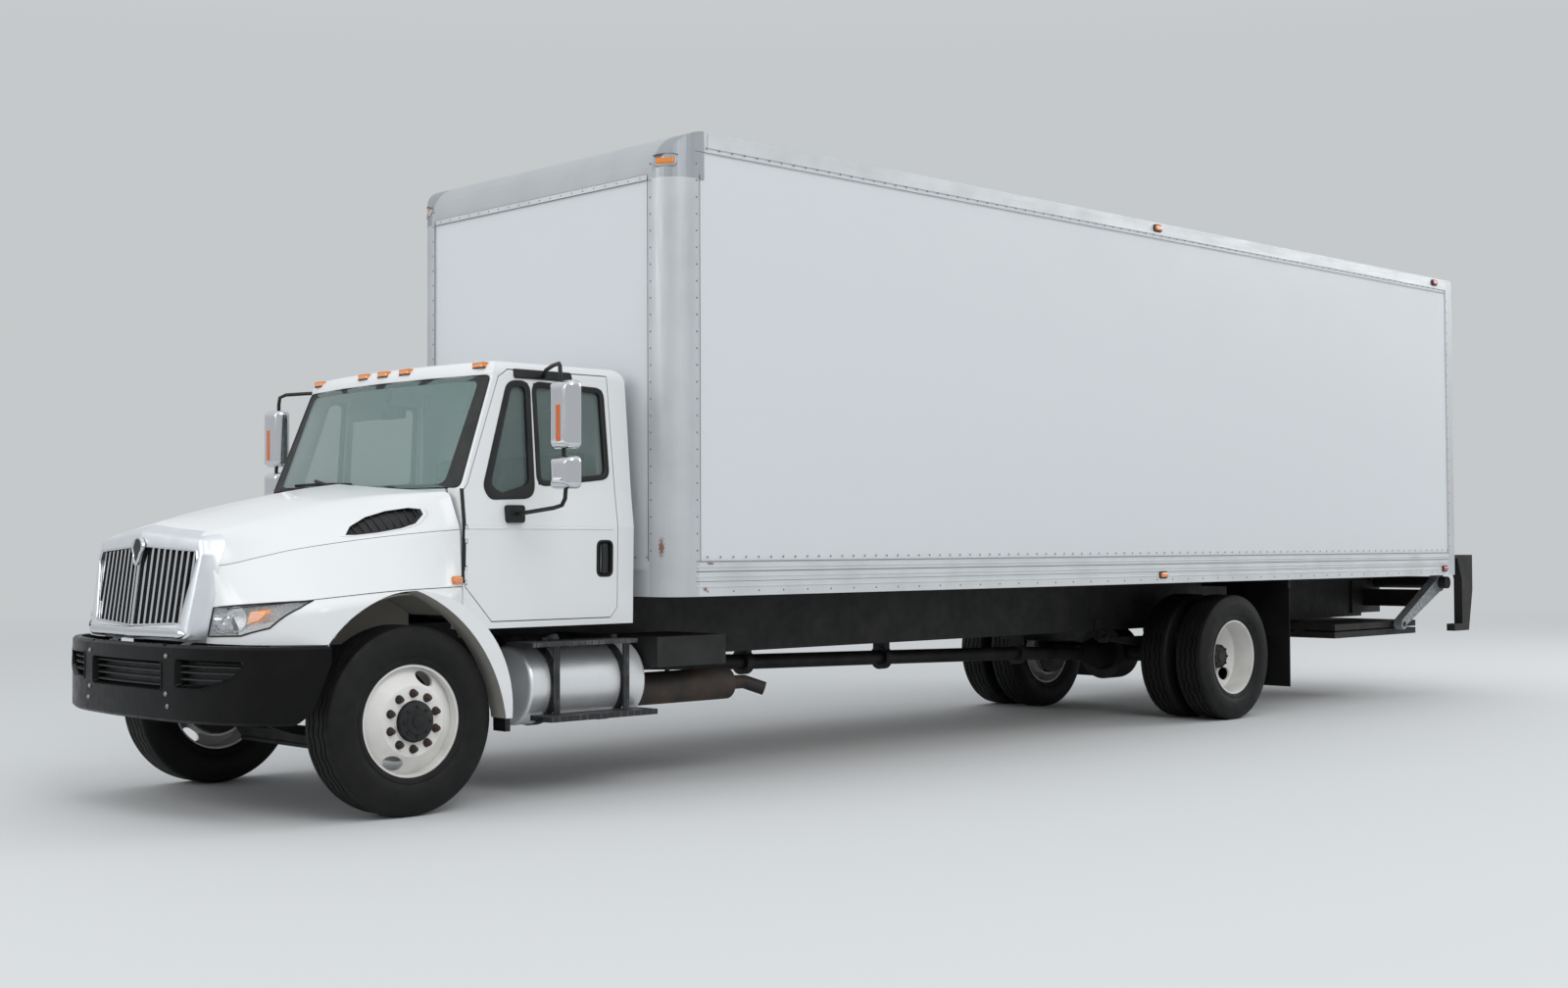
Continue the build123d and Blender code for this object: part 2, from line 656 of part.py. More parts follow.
# Doors with their windows, a handle in its recess, and glass in the windows
windows = (vent_window, main_window)
handle_x = front_axle_x - 1355
handle_z = 1318
handle_half_length = 50
handle_half_height = 95
handle_depth = 22
door_glass_inset = 22
for name, side in SIDES:
    low, high = both_ways(side, pillar_y + 8, far)
    skin = cab_half_width - 6
    with BuildPart() as door:
        add(cab_outside.part)
        width_prism(door_thickness, Mode.SUBTRACT)
        offset_prism((door_points,), 0, low, high, Mode.INTERSECT)
        offset_prism(windows, 0, low, high, Mode.SUBTRACT)
        block((handle_x - handle_half_length, handle_x + handle_half_length),
              (side * (skin - handle_depth), side * far),
              (handle_z - handle_half_height, handle_z + handle_half_height), Mode.SUBTRACT)
        block((handle_x - 14, handle_x + 14), (side * (skin - handle_depth - 2), side * skin),
              (handle_z - handle_half_height + 15, handle_z + handle_half_height - 15))
        for z in hinge_heights:
            for foot in (z - hinge_half - 26, z + hinge_half):
                block((hinge_x - 14, hinge_x + 1), (side * (hinge_y - door_thickness - 7), side * far),
                      (foot, foot + 26), mode=Mode.SUBTRACT)
            block((hinge_x - 14, hinge_x), (side * (hinge_y - 12), side * hinge_y),
                  (z - hinge_half, z + hinge_half))
            rod((hinge_x, side * hinge_y, z - hinge_half), (hinge_x, side * hinge_y, z + hinge_half),
                hinge_pin + 4)
            rod((hinge_x, side * hinge_y, z - hinge_half - 1),
                (hinge_x, side * hinge_y, z + hinge_half + 1), hinge_pin + running_gap,
                mode=Mode.SUBTRACT)
    save(door, f"door_{name}")

    with BuildPart() as door_glass:
        cab_envelope(door_glass_inset, cab_top)
        cab_envelope(door_glass_inset + glass_thickness, cab_top, Mode.SUBTRACT)
        offset_prism(windows, 0, low, high, Mode.INTERSECT)
    save(door_glass, f"door_glass_{name}")

# Mirrors on the doors: (low, high) of each head, and the points of the bent arms
mirror_heads = ((1900, 2265), (1689, 1866))
mirror_x = (front_axle_x - 750, front_axle_x - 650)
mirror_y = (1405, 1595)
arm_radius = 11
mirror_arms = (
    ((-975, 965, 2345), (-930, 1010, 2350), (-700, 1465, 2350), (-700, 1465, 2230)),
    ((-700, 1465, 2100), (-700, 1500, 1800), (-700, 1515, 1680), (-700, 1480, 1600),
     (-720, 1050, 1565)),
)
for name, side in SIDES:
    with BuildPart() as mirror_pair:
        for low, high in mirror_heads:
            with BuildSketch(Plane((0, 0, low))) as head:
                with Locations((sum(mirror_x) / 2, side * sum(mirror_y) / 2)):
                    RectangleRounded(mirror_x[1] - mirror_x[0], mirror_y[1] - mirror_y[0], 30)
            extrude(head.sketch, amount=high - low)
        for path in mirror_arms:
            for (x1, y1, z1), (x2, y2, z2) in zip(path, path[1:]):
                rod((front_axle_x + x1, side * y1, z1), (front_axle_x + x2, side * y2, z2),
                    arm_radius)
                with Locations((front_axle_x + x2, side * y2, z2)):
                    Sphere(arm_radius)
        block((front_axle_x - 1180, front_axle_x - 770), (side * 930, side * 985), (2322, 2370))
        block((front_axle_x - 780, front_axle_x - 660), (side * 1000, side * 1070), (1514, 1615))
        add(cab_outside.part, mode=Mode.SUBTRACT)
    save(mirror_pair, f"mirror_{name}")


# Inside the cab: dashboard, steering wheel on its column, and two seats
dash_half = 860
dash_reach = 750
driver_y = -430
with BuildPart() as dashboard:
    side_prism([(-250, firewall_foot_z + 60), (-250, scuttle_z - 60), (-620, 1590),
                (-dash_reach, 1540), (-dash_reach, 1400), (-650, 1330),
                (-620, firewall_foot_z + 60)], -dash_half, dash_half, front_axle_x)
    add(cab_lining.part, mode=Mode.INTERSECT)
save(dashboard, "dashboard")

wheel_centre = Vector(front_axle_x - 900, driver_y, 1565)
column_foot = Vector(front_axle_x - dash_reach - 40, driver_y, 1470)
column_way = wheel_centre - column_foot
with BuildPart() as steering_wheel:
    with Locations(Plane(wheel_centre, z_dir=column_way)):
        Torus(222, 15)
        Cylinder(70, 44)
        for angle in (0, 120, 240):
            with Locations(Location((0, 0, 0), (0, 0, angle)) * Location((115, 0, 0))):
                Box(210, 44, 14)
    rod(tuple(column_foot), tuple(wheel_centre), 34)
    with Locations(column_foot):
        Sphere(34)
    rod((front_axle_x - dash_reach, driver_y, column_foot.Z), tuple(column_foot), 34)
save(steering_wheel, "steering_wheel")

seat_table = ((driver_y, 260), (380, 400))
cushion_low = 1180
cushion_high = 1310
with BuildPart() as seats:
    for y, half_width in seat_table:
        low, high = y - half_width, y + half_width
        block((front_axle_x - 1360, front_axle_x - 940), (low + 60, high - 60),
              (cab_floor_z + 40, cushion_low + 1))
        with BuildSketch(side_view(high, front_axle_x)) as side_of_seat:
            with BuildLine():
                Polyline([(-880, cushion_low), (-880, cushion_high), (-1290, cushion_high - 30),
                          (-1370, 1960), (-1450, 1960), (-1430, cushion_low)], close=True)
            make_face()
            fillet(side_of_seat.vertices(), 38)
        extrude(side_of_seat.sketch, amount=high - low)
save(seats, "seats")

# Fuel tank on the left, its straps, and the steps on both sides
tank_radius = 225
tank_y = 800
tank_z = 615
tank_x = (front_axle_x - 1664, front_axle_x - 834)
strap_places = (front_axle_x - 996, front_axle_x - 1495)
with BuildPart() as fuel_tank:
    rod((tank_x[0], tank_y, tank_z), (tank_x[1], tank_y, tank_z), tank_radius)
    for end in (faces().sort_by(Axis.X)[0], faces().sort_by(Axis.X)[-1]):
        fillet(end.edges(), 25)
    filler_x = sum(tank_x) / 2
    rod((filler_x, tank_y - 80, tank_z + 150), (filler_x, tank_y - 130, tank_z + 252), 38)
save(fuel_tank, "fuel_tank")

strap_half = 25
with BuildPart() as tank_straps:
    for x in strap_places:
        with BuildSketch(Plane.YZ.offset(x - strap_half)) as strap:
            with Locations((tank_y, tank_z)):
                Circle(tank_radius + 8)
            with BuildLine():
                Polyline([(rail_outer, rail_bottom + 20), (rail_outer, rail_bottom + 140),
                          (rail_outer + 30, rail_bottom + 140), (tank_y - 90, tank_z + 200),
                          (tank_y - 90, tank_z - 200), (rail_outer + 30, rail_bottom + 20)],
                         close=True)
            make_face()
            with Locations((tank_y, tank_z)):
                Circle(tank_radius + running_gap, mode=Mode.SUBTRACT)
        extrude(strap.sketch, amount=2 * strap_half)

upper_step = ((-1510, -770), (880, 1130), (838, 862))
lower_step = ((-1634, -872), (970, 1160), (425, 455))
drop_y = (tank_y + tank_radius + 12, tank_y + tank_radius + 26)
with BuildPart() as cab_steps:
    add(tank_straps.part)
    for name, side in SIDES:
        for (x_back, x_front), (y_in, y_out), z_range in (upper_step, lower_step):
            block((front_axle_x + x_back, front_axle_x + x_front), (side * y_in, side * y_out),
                  z_range)
        for x in strap_places:
            block((x - 20, x + 20), (side * rail_outer, side * (upper_step[1][0] + 60)),
                  (850, 880))
            block((x - 20, x + 20), (side * drop_y[0], side * drop_y[1]),
                  (lower_step[2][0], upper_step[2][1]))
save(cab_steps, "steps_and_tank_straps")

# Battery box with the muffler under it, hung from the left frame rail
with BuildPart() as battery_box:
    block((front_axle_x - 2220, front_axle_x - 1684), (560, 1100), (686, 861))
    for x in (front_axle_x - 2150, front_axle_x - 1760):
        block((x - 25, x + 25), (rail_outer, 580), (720, 800))
save(battery_box, "battery_box")

muffler_y = 850
muffler_z = 545
pipe_radius = 42
exhaust_path = (
    (-1750, muffler_y - 40, muffler_z - 10), (-1765, 505, 500), (-850, 500, 530),
    (-790, 300, 560), (-600, 240, 640), (-520, 236, 700), (engine_rear - front_axle_x, 236, 700))
tail_path = ((-2440, muffler_y, muffler_z), (-2600, muffler_y, muffler_z), (-2700, 930, 500))
with BuildPart() as exhaust:
    rod((front_axle_x - 2445, muffler_y, muffler_z), (front_axle_x - 1700, muffler_y, muffler_z), 97)
    for path in (exhaust_path, tail_path):
        for (x1, y1, z1), (x2, y2, z2) in zip(path, path[1:]):
            rod((front_axle_x + x1, y1, z1), (front_axle_x + x2, y2, z2), pipe_radius)
        for x, y, z in path[1:-1]:
            with Locations((front_axle_x + x, y, z)):
                Sphere(pipe_radius)
    for x in (front_axle_x - 2330, front_axle_x - 1860):
        block((x - 15, x + 15), (rail_outer, rail_outer + 12), (muffler_z - 20, rail_bottom + 60))
        block((x - 15, x + 15), (rail_outer, muffler_y - 60), (muffler_z - 20, muffler_z + 20))
save(exhaust, "exhaust")

def both_halves(points):
    """Closed outline from its left half, which starts and ends on the centre line."""
    return list(points) + [(-y, z) for y, z in reversed(points[1:-1])]


opening_points = ((0, 985), (471, 1005), (552, 1330), (535, 1372), (0, 1400))
# Hood and fenders: half sections from the front of the cab to the grille
# Each row is x, then the height of the middle, then (y, z) of the shoulder, the crease,
# the seam over the fender and the fender's edge
hood_sections = (
    (-375, 1762, (960, 1686), (1022, 1480), (1034, 1175), (1036, 1150)),
    (-200, 1740, (835, 1672), (1003, 1468), (1120, 1172), (1165, 1140)),
    (0, 1712, (660, 1650), (965, 1450), (1150, 1168), (1180, 1130)),
    (500, 1612, (480, 1540), (820, 1378), (1095, 1130), (1166, 1090)),
    (650, 1576, (440, 1508), (730, 1338), (1010, 1112), (1072, 1070)),
    (800, 1536, (420, 1470), (650, 1300), (830, 1090), (888, 1030)),
    (850, 1519, (405, 1452), (625, 1295), (675, 1078), (682, 1005)),
)
hood_low = 905
hood_wall = 28
hood_front = hood_sections[-1][0]


def hood_envelope(inset, mode=Mode.ADD):
    """Outside of the hood and fenders, set in by a wall thickness and open below."""
    sections = []
    for x, top, shoulder, crease, seam, edge in hood_sections:
        place = x - inset if x == hood_front else x
        half = [(0, top - inset), (shoulder[0] - inset / 2, shoulder[1] - inset),
                (crease[0] - inset, crease[1] - inset / 2), (seam[0] - inset, seam[1] - inset / 2),
                (edge[0] - inset, edge[1] - inset / 2), (edge[0] - inset, hood_low - inset / 2)]
        other = [(-y, z) for y, z in reversed(half[1:])]
        with BuildSketch(Plane.YZ.offset(front_axle_x + place)) as section:
            with BuildLine():
                Polyline(half + other, close=True)
            make_face()
        sections.append(section.sketch)
    loft(sections=sections, ruled=True, mode=mode)


arch_front = (540, 860)
arch_rear = (-556, 471)
vent_points = ((219, 1454), (-66, 1475), (-257, 1553), (-232, 1595), (52, 1541))
lamp_points = (
    (584, 940), (640, 1086), (1085, 1122), (1080, 1088), (990, 990), (850, 950))


def arch_sketch(y, outer_rear, outer_foot):
    """Side view of the wheel opening, down past the ground."""
    with BuildSketch(side_view(y, front_axle_x)) as opening:
        with BuildLine():
            ThreePointArc(arch_front, (330, 1067), (0, 1162))
            ThreePointArc((0, 1162), outer_rear, outer_foot)
            Line(outer_foot, (outer_foot[0], -100))
            Line((outer_foot[0], -100), (arch_front[0], -100))
            Line((arch_front[0], -100), arch_front)
        make_face()
    return opening.sketch


flare_in = cab_half_width + 15
flare_out = 1180
with BuildPart() as hood:
    hood_envelope(0)
    hood_envelope(hood_wall, Mode.SUBTRACT)
    for name, side in SIDES:
        low, high = both_ways(side, flare_in, flare_out)
        extrude(arch_sketch(high, (-477, 907), (-597, 471)), amount=high - low)
    with BuildSketch(Plane((front_axle_x, 0, hood_low - 60))) as behind:
        with BuildLine():
            ThreePointArc((-375, -flare_in), (-250, 0), (-375, flare_in))
            Line((-375, flare_in), (-600, flare_in))
            Line((-600, flare_in), (-600, -flare_in))
            Line((-600, -flare_in), (-375, -flare_in))
        make_face()
    extrude(behind.sketch, amount=1000, mode=Mode.SUBTRACT)
    block((front_axle_x - 700, front_axle_x + arch_front[0]), (-1300, 1300), (-200, 471),
          mode=Mode.SUBTRACT)
    extrude(arch_sketch(1300, (-358, 912), arch_rear), amount=2600, mode=Mode.SUBTRACT)
    front_prism(both_halves(opening_points), front_axle_x + 690, front_axle_x + 1000,
                mode=Mode.SUBTRACT)
    for name, side in SIDES:
        front_prism([(side * y, z) for y, z in lamp_points], front_axle_x + 480,
                    front_axle_x + 1100, mode=Mode.SUBTRACT)
        low, high = both_ways(side, 700, 1100)
        offset_prism((vent_points,), 0, low, high, Mode.SUBTRACT)
        low, high = both_ways(side, *lug_y)
        side_prism([(824, 906), (824, 960), (849, 960), (849, 915), (970, 857), (970, 827),
                    (850, 892)], low, high, front_axle_x)
        rod((hood_pivot_x, low, hood_pivot_z), (hood_pivot_x, high, hood_pivot_z), 20)
        rod((hood_pivot_x, low - 1, hood_pivot_z), (hood_pivot_x, high + 1, hood_pivot_z),
            hood_pin + running_gap, mode=Mode.SUBTRACT)
save(hood, "hood")

# Grille: a leaning prow in plan, from its lower outline to its upper one
prow_table = ((922, 955, 562, 990), (1478, 862, 645, 922))
surround_points = ((0, 924), (558, 928), (640, 1345), (620, 1420), (540, 1450), (0, 1476))
bar_pitch = 56
bar_width = 20


def prow(inset, mode=Mode.ADD):
    """Solid behind the grille's face, set in by a depth."""
    levels = []
    for height, corner_x, corner_y, middle_x in prow_table:
        with BuildSketch(Plane((front_axle_x, 0, height))) as level:
            with BuildLine():
                Polyline([(middle_x - inset, 0), (corner_x - inset, corner_y),
                          (700, corner_y), (700, -corner_y), (corner_x - inset, -corner_y)],
                         close=True)
            make_face()
        levels.append(level.sketch)
    loft(sections=levels, ruled=True, mode=mode)


with BuildPart() as grille_surround:
    prow(0)
    front_prism(both_halves(surround_points), front_axle_x + 690, front_axle_x + 1000,
                mode=Mode.INTERSECT)
    hood_envelope(0, Mode.SUBTRACT)
    front_prism(both_halves(opening_points), front_axle_x + 690, front_axle_x + 1000,
                mode=Mode.SUBTRACT)
save(grille_surround, "grille_surround")

with BuildPart() as grille_bars:
    prow(10)
    prow(34, Mode.SUBTRACT)
    front_prism(both_halves(opening_points), front_axle_x + 690, front_axle_x + 1000,
                mode=Mode.INTERSECT)
    for index in range(10):
        for side in (-1, 1):
            block((front_axle_x + 690, front_axle_x + 1000),
                  (side * (bar_pitch * index + bar_width / 2),
                   side * (bar_pitch * (index + 1) - bar_width / 2)), (900, 1500),
                  mode=Mode.SUBTRACT)
save(grille_bars, "grille_bars")

with BuildPart() as grille_mesh:
    prow(44)
    prow(50, Mode.SUBTRACT)
    front_prism(both_halves(opening_points), front_axle_x + 690, front_axle_x + 1000,
                mode=Mode.INTERSECT)
save(grille_mesh, "grille_mesh")

# Headlamps: a lens following the hood's surface over an open tray
lens_thickness = 5
with BuildPart() as headlamps:
    for name, side in SIDES:
        with BuildPart(mode=Mode.PRIVATE) as tray:
            hood_envelope(lens_thickness + 2)
            hood_envelope(90, Mode.SUBTRACT)
            outline = [(side * y, z) for y, z in lamp_points]
            front_prism(outline, front_axle_x + 480, front_axle_x + 1100, mode=Mode.INTERSECT)
        with BuildPart(mode=Mode.PRIVATE) as hollow:
            hood_envelope(lens_thickness + 1)
            hood_envelope(84, Mode.SUBTRACT)
            with BuildSketch(Plane.YZ.offset(front_axle_x + 480)) as inner:
                with BuildLine():
                    Polyline(outline, close=True)
                make_face()
                offset(amount=-6, kind=Kind.INTERSECTION)
            extrude(inner.sketch, amount=620, mode=Mode.INTERSECT)
        add(tray.part - hollow.part)
save(headlamps, "headlamps")

with BuildPart() as headlamp_lenses:
    for name, side in SIDES:
        with BuildPart(mode=Mode.PRIVATE) as lens:
            hood_envelope(0)
            hood_envelope(lens_thickness, Mode.SUBTRACT)
            outline = [(side * y, z) for y, z in lamp_points]
            front_prism(outline, front_axle_x + 480, front_axle_x + 1100, mode=Mode.INTERSECT)
        add(lens.part)
save(headlamp_lenses, "headlamp_lenses")

# Liners over the front wheels, fixed to the hood and clear of the cab behind it
liner_radius = 608
liner_thickness = 8
liner_clear_x = -362
with BuildPart() as wheel_liners:
    for name, side in SIDES:
        low, high = both_ways(side, 560, flare_out - 80)
        with BuildSketch(side_view(high, front_axle_x)) as liner:
            with Locations((0, 540)):
                Circle(liner_radius)
                Circle(liner_radius - liner_thickness, mode=Mode.SUBTRACT)
            with Locations((0, 200)):
                Rectangle(2000, 1100, mode=Mode.SUBTRACT)
            with Locations((1000, 500)):
                Rectangle(1020, 1000, mode=Mode.SUBTRACT)
        extrude(liner.sketch, amount=high - low)
        block((front_axle_x - 800, front_axle_x + liner_clear_x), (side * 500, side * 1300),
              (0, 1300), mode=Mode.SUBTRACT)
        block((front_axle_x - 800, front_axle_x), (side * flare_in, side * 1300),
              (0, 1300), mode=Mode.SUBTRACT)
        block((front_axle_x - 800, front_axle_x - 180), (side * 1000, side * 1300),
              (0, 1300), mode=Mode.SUBTRACT)
save(wheel_liners, "wheel_liners")

# Under the load floor: long sills on the frame and crossmembers over them
long_sill_top = body_bottom
crossmember_pitch = 406
crossmember_half = 25
crossmember_web = 3
crossmember_end = panel_outer - panel_thickness / 2
with BuildPart() as body_sills:
    for name, side in SIDES:
        block((body_rear + 20, body_front - 40),
              (side * (rail_outer - rail_flange), side * rail_outer), (rail_top, long_sill_top))
save(body_sills, "body_sills")

with BuildPart() as body_crossmembers:
    count = int((body_length - 350) / crossmember_pitch) + 1
    start = body_front - 210
    for index in range(count):
        x = start - index * crossmember_pitch
        side_prism([
            (x - crossmember_half, body_bottom), (x + crossmember_half, body_bottom),
            (x + crossmember_half, body_bottom + 6), (x + crossmember_web, body_bottom + 6),
            (x + crossmember_web, floor_bottom - 6), (x + crossmember_half, floor_bottom - 6),
            (x + crossmember_half, floor_bottom), (x - crossmember_half, floor_bottom),
            (x - crossmember_half, floor_bottom - 6), (x - crossmember_web, floor_bottom - 6),
            (x - crossmember_web, body_bottom + 6), (x - crossmember_half, body_bottom + 6)],
            -crossmember_end, crossmember_end)
save(body_crossmembers, "body_crossmembers")

# Load floor, side panels, front panel and roof
post_x = body_front - corner_radius
post_y = body_half - corner_radius
nose_x = body_front - nose_radius
nose_z = body_top - nose_radius
cap_z = nose_z - post_flange
roof_top = body_top - trim_thickness
roof_low = roof_top - roof_thickness
panel_inner = panel_outer - panel_thickness
frame_x = body_rear + rear_frame_depth
with BuildPart() as body_floor:
    floor_front = panel_front - panel_thickness
    plan_prism([(frame_x, -panel_inner), (post_x, -panel_inner), (floor_front, -post_y),
                (floor_front, post_y), (post_x, panel_inner), (frame_x, panel_inner)],
               floor_bottom, floor_top)
save(body_floor, "body_floor")

with BuildPart() as wall_panels:
    for name, side in SIDES:
        side_prism([(frame_x, floor_bottom), (post_x, floor_bottom), (post_x, cap_z),
                    (nose_x, cap_z), (nose_x, roof_low), (frame_x, roof_low)],
                   *both_ways(side, panel_inner, panel_outer))
    block((panel_front - panel_thickness, panel_front), (-post_y, post_y), (floor_bottom, nose_z))
save(wall_panels, "wall_panels")

with BuildPart() as roof_panel:
    block((frame_x, nose_x), (-panel_outer, panel_outer), (roof_low, roof_top))
save(roof_panel, "roof_panel")

# Rounded front edges: upright posts, the nose across the top, and a cap at each corner
edge_thickness = trim_thickness + panel_thickness


def quarter(centre, radius, facets):
    """Points of a quarter circle from its forward end to its outer or upper end."""
    angles = [pi / 2 * index / facets for index in range(facets + 1)]
    return [(centre[0] + radius * cos(angle), centre[1] + radius * sin(angle)) for angle in angles]


def rounded_corner(inset, margin, mode=Mode.ADD):
    """Solid filling the left front top corner, inside its two faceted radii."""
    side_radius = corner_radius - inset
    top_radius = nose_radius - inset
    plan = quarter((post_x, post_y), side_radius, 10)
    plan = [(nose_x - margin, post_y - margin)] + plan + [(nose_x - margin, post_y + side_radius)]
    profile = [(nose_x - margin, cap_z - margin), (nose_x + top_radius, cap_z - margin)]
    profile = profile + quarter((nose_x, nose_z), top_radius, 12)
    if margin:
        plan.insert(1, (post_x + side_radius, post_y - margin))
        profile.append((nose_x - margin, nose_z + top_radius))
    with BuildPart(mode=Mode.PRIVATE) as filled:
        plan_prism(plan, cap_z - margin, body_top + 1)
        side_prism(profile, post_y - margin, body_half + 1, mode=Mode.INTERSECT)
    add(filled.part, mode=mode)


with BuildPart() as corner_posts:
    for name, side in SIDES:
        with BuildSketch(Plane((post_x, side * post_y, body_bottom))) as post:
            Circle(corner_radius)
            Circle(corner_radius - edge_thickness, mode=Mode.SUBTRACT)
            with Locations((500, side * 500)):
                Rectangle(1000, 1000, mode=Mode.INTERSECT)
            with Locations((-post_flange / 2, side * (corner_radius - trim_thickness / 2))):
                Rectangle(post_flange, trim_thickness)
            with Locations((corner_radius - trim_thickness / 2, -side * post_flange / 2)):
                Rectangle(trim_thickness, post_flange)
        extrude(post.sketch, amount=cap_z - body_bottom)
save(corner_posts, "corner_posts")

with BuildPart() as corner_caps:
    rounded_corner(0, 0)
    rounded_corner(edge_thickness, 5, Mode.SUBTRACT)
    mirror(corner_caps.part, about=Plane.XZ)
save(corner_caps, "corner_caps")

with BuildPart() as nose_rail:
    with BuildSketch(side_view(post_y, nose_x)) as nose:
        with Locations((0, nose_z)):
            Circle(nose_radius)
            Circle(nose_radius - edge_thickness, mode=Mode.SUBTRACT)
            with Locations((500, 500)):
                Rectangle(1000, 1000, mode=Mode.INTERSECT)
            with Locations((-post_flange / 2, nose_radius - trim_thickness / 2)):
                Rectangle(post_flange, trim_thickness)
            with Locations((nose_radius - trim_thickness / 2, -post_flange / 2)):
                Rectangle(trim_thickness, post_flange)
    extrude(nose.sketch, amount=2 * post_y)
save(nose_rail, "nose_rail")

# Rails along the box: upper and lower side rails, and the front sill
rail_low_top = 1290
rail_high_bottom = 3705
rib_heights = (1209, 1265)
with BuildPart() as side_rails:
    for name, side in SIDES:
        x_range = (frame_x, nose_x - post_flange)
        block(x_range, (side * panel_outer, side * body_half), (rail_high_bottom, body_top))
        block(x_range, (side * (panel_outer - 60), side * (panel_outer + 1)),
              (roof_top, body_top))
        low_range = (frame_x, post_x - post_flange)
        block(low_range, (side * panel_outer, side * body_half), (body_bottom, rail_low_top))
        block(low_range, (side * (crossmember_end), side * (panel_outer + 1)),
              (body_bottom, floor_bottom))
    block((panel_front, body_front), (-(post_y - post_flange), post_y - post_flange),
          (body_bottom, rail_low_top - 40))
    block((panel_front - panel_thickness, panel_front + 1),
          (-(post_y - post_flange), post_y - post_flange), (body_bottom, floor_bottom))
save(side_rails, "side_rails")

# Rear frame round the opening, and a roll-up door of panels just inside it
door_half = 1165
door_low = floor_top
door_high = 3660
door_panels = 8
with BuildPart() as rear_frame:
    block((body_rear, frame_x), (-body_half, body_half), (body_bottom, body_top))
    block((body_rear - 10, frame_x + 10), (-door_half, door_half), (door_low, door_high),
          mode=Mode.SUBTRACT)
save(rear_frame, "rear_frame")

with BuildPart() as rear_door:
    pitch = (door_high - door_low) / door_panels
    block((body_rear + 32, body_rear + 48), (-door_half, door_half), (door_low, door_high))
    for index in range(door_panels):
        low = door_low + index * pitch
        block((body_rear + 20, body_rear + 60), (-door_half, door_half),
              (low + 4, low + pitch - 4))
save(rear_door, "rear_door")

# Lamps: each row is x, y on the left, height, and (length, width, height) of the lens
cab_lamps = ((-560, 0), (-566, 217), (-641, 833))
cab_lamp_z = 2386
side_ambers = ((-1167, 3753), (-1200, 1157))
side_reds = ((-5520, 3753), (-5656, 1154))
lens = (75, 16, 34)
with BuildPart() as amber_lamps:
    for x, y in cab_lamps:
        for side in ((1,) if y == 0 else (1, -1)):
            with Locations((front_axle_x + x, side * y, cab_lamp_z)):
                Box(50, 100, 32)
    add(cab_outside.part, mode=Mode.SUBTRACT)
    for x, z in side_ambers:
        for name, side in SIDES:
            with Locations((x, side * (body_half + lens[1] / 2), z)):
                Box(*lens)
save(amber_lamps, "amber_lamps")

tail_lamp_y = 700
with BuildPart() as red_lamps:
    for name, side in SIDES:
        for x, z in side_reds:
            with Locations((x, side * (body_half + lens[1] / 2), z)):
                Box(*lens)
        for y in (tail_lamp_y, tail_lamp_y + 170):
            rod((body_rear - 14, side * y, 1180), (body_rear, side * y, 1180), 52)
        with Locations((body_rear - 8, side * 1200, 3730)):
            Box(16, 75, 34)
    for y in (-150, 0, 150):
        with Locations((body_rear - 8, y, 3730)):
            Box(16, 75, 34)
save(red_lamps, "red_lamps")

# Mud flaps behind the rear wheels
flap_x = front_axle_x - 8340
with BuildPart() as mud_flaps:
    for name, side in SIDES:
        block((flap_x - 4, flap_x + 4), (side * 660, side * 1250), (220, 1050))
        block((flap_x - 20, flap_x + 20), (side * rail_outer, side * 1250),
              (rail_top + 70, body_bottom))
save(mud_flaps, "mud_flaps")

# Liftgate: fixed mount with the deck plate, dock posts, cross tube and a cradle
pivot_x = -5970
pivot_z = 1020
tip_x = -5270
tip_z = 655
tube_radius = 55
arm_low = 1020
arm_high = 1100
post_inner = 1170
post_outer = 1250
with BuildPart() as liftgate_mount:
    block((deck_rear, body_rear), (-post_outer, post_outer), (1245, 1275))
    for name, side in SIDES:
        side_prism([(deck_rear, 1246), (-6000, 1246), (-6090, 1050), (-6090, 640), (-5940, 640),
                    (-5940, 575), (-6220, 575), (deck_rear, 950)],
                   *both_ways(side, post_inner, post_outer))
        block((pivot_x - 70, body_rear + 340), (side * rail_outer, side * (rail_outer + 16)),
              (rail_bottom + 30, body_bottom - 60))
        block((pivot_x - 70, body_rear - 12), (side * rail_outer, side * (rail_outer + 16)),
              (body_bottom - 70, 1246))
        block((pivot_x - 150, pivot_x + 70), (side * (post_inner + 1), side * (rail_outer + 15)),
              (pivot_z + tube_radius + 60, pivot_z + tube_radius + 74))
    rod((pivot_x, -post_inner - 1, pivot_z), (pivot_x, post_inner + 1, pivot_z), tube_radius)
    block((pivot_x + 100, frame_rear - 6), (-arm_low + 15, arm_low - 15), (800, rail_top - 6))
save(liftgate_mount, "liftgate_mount")

platform_half = 1000
platform_x = (-5670, -4220)
leaf_low = (560, 614)
leaf_high = (626, 680)
pin_radius = 22
with BuildPart() as liftgate_platform:
    for z_range in (leaf_low, leaf_high):
        block(platform_x, (-platform_half, platform_half), z_range)
    for side in (1, -1):
        block((platform_x[1] - 60, platform_x[1]), (side * 600, side * 700), (600, 640))
        rod((tip_x, side * (platform_half - 50), tip_z), (tip_x, side * (arm_high + 6), tip_z),
            pin_radius)
save(liftgate_platform, "liftgate_platform")

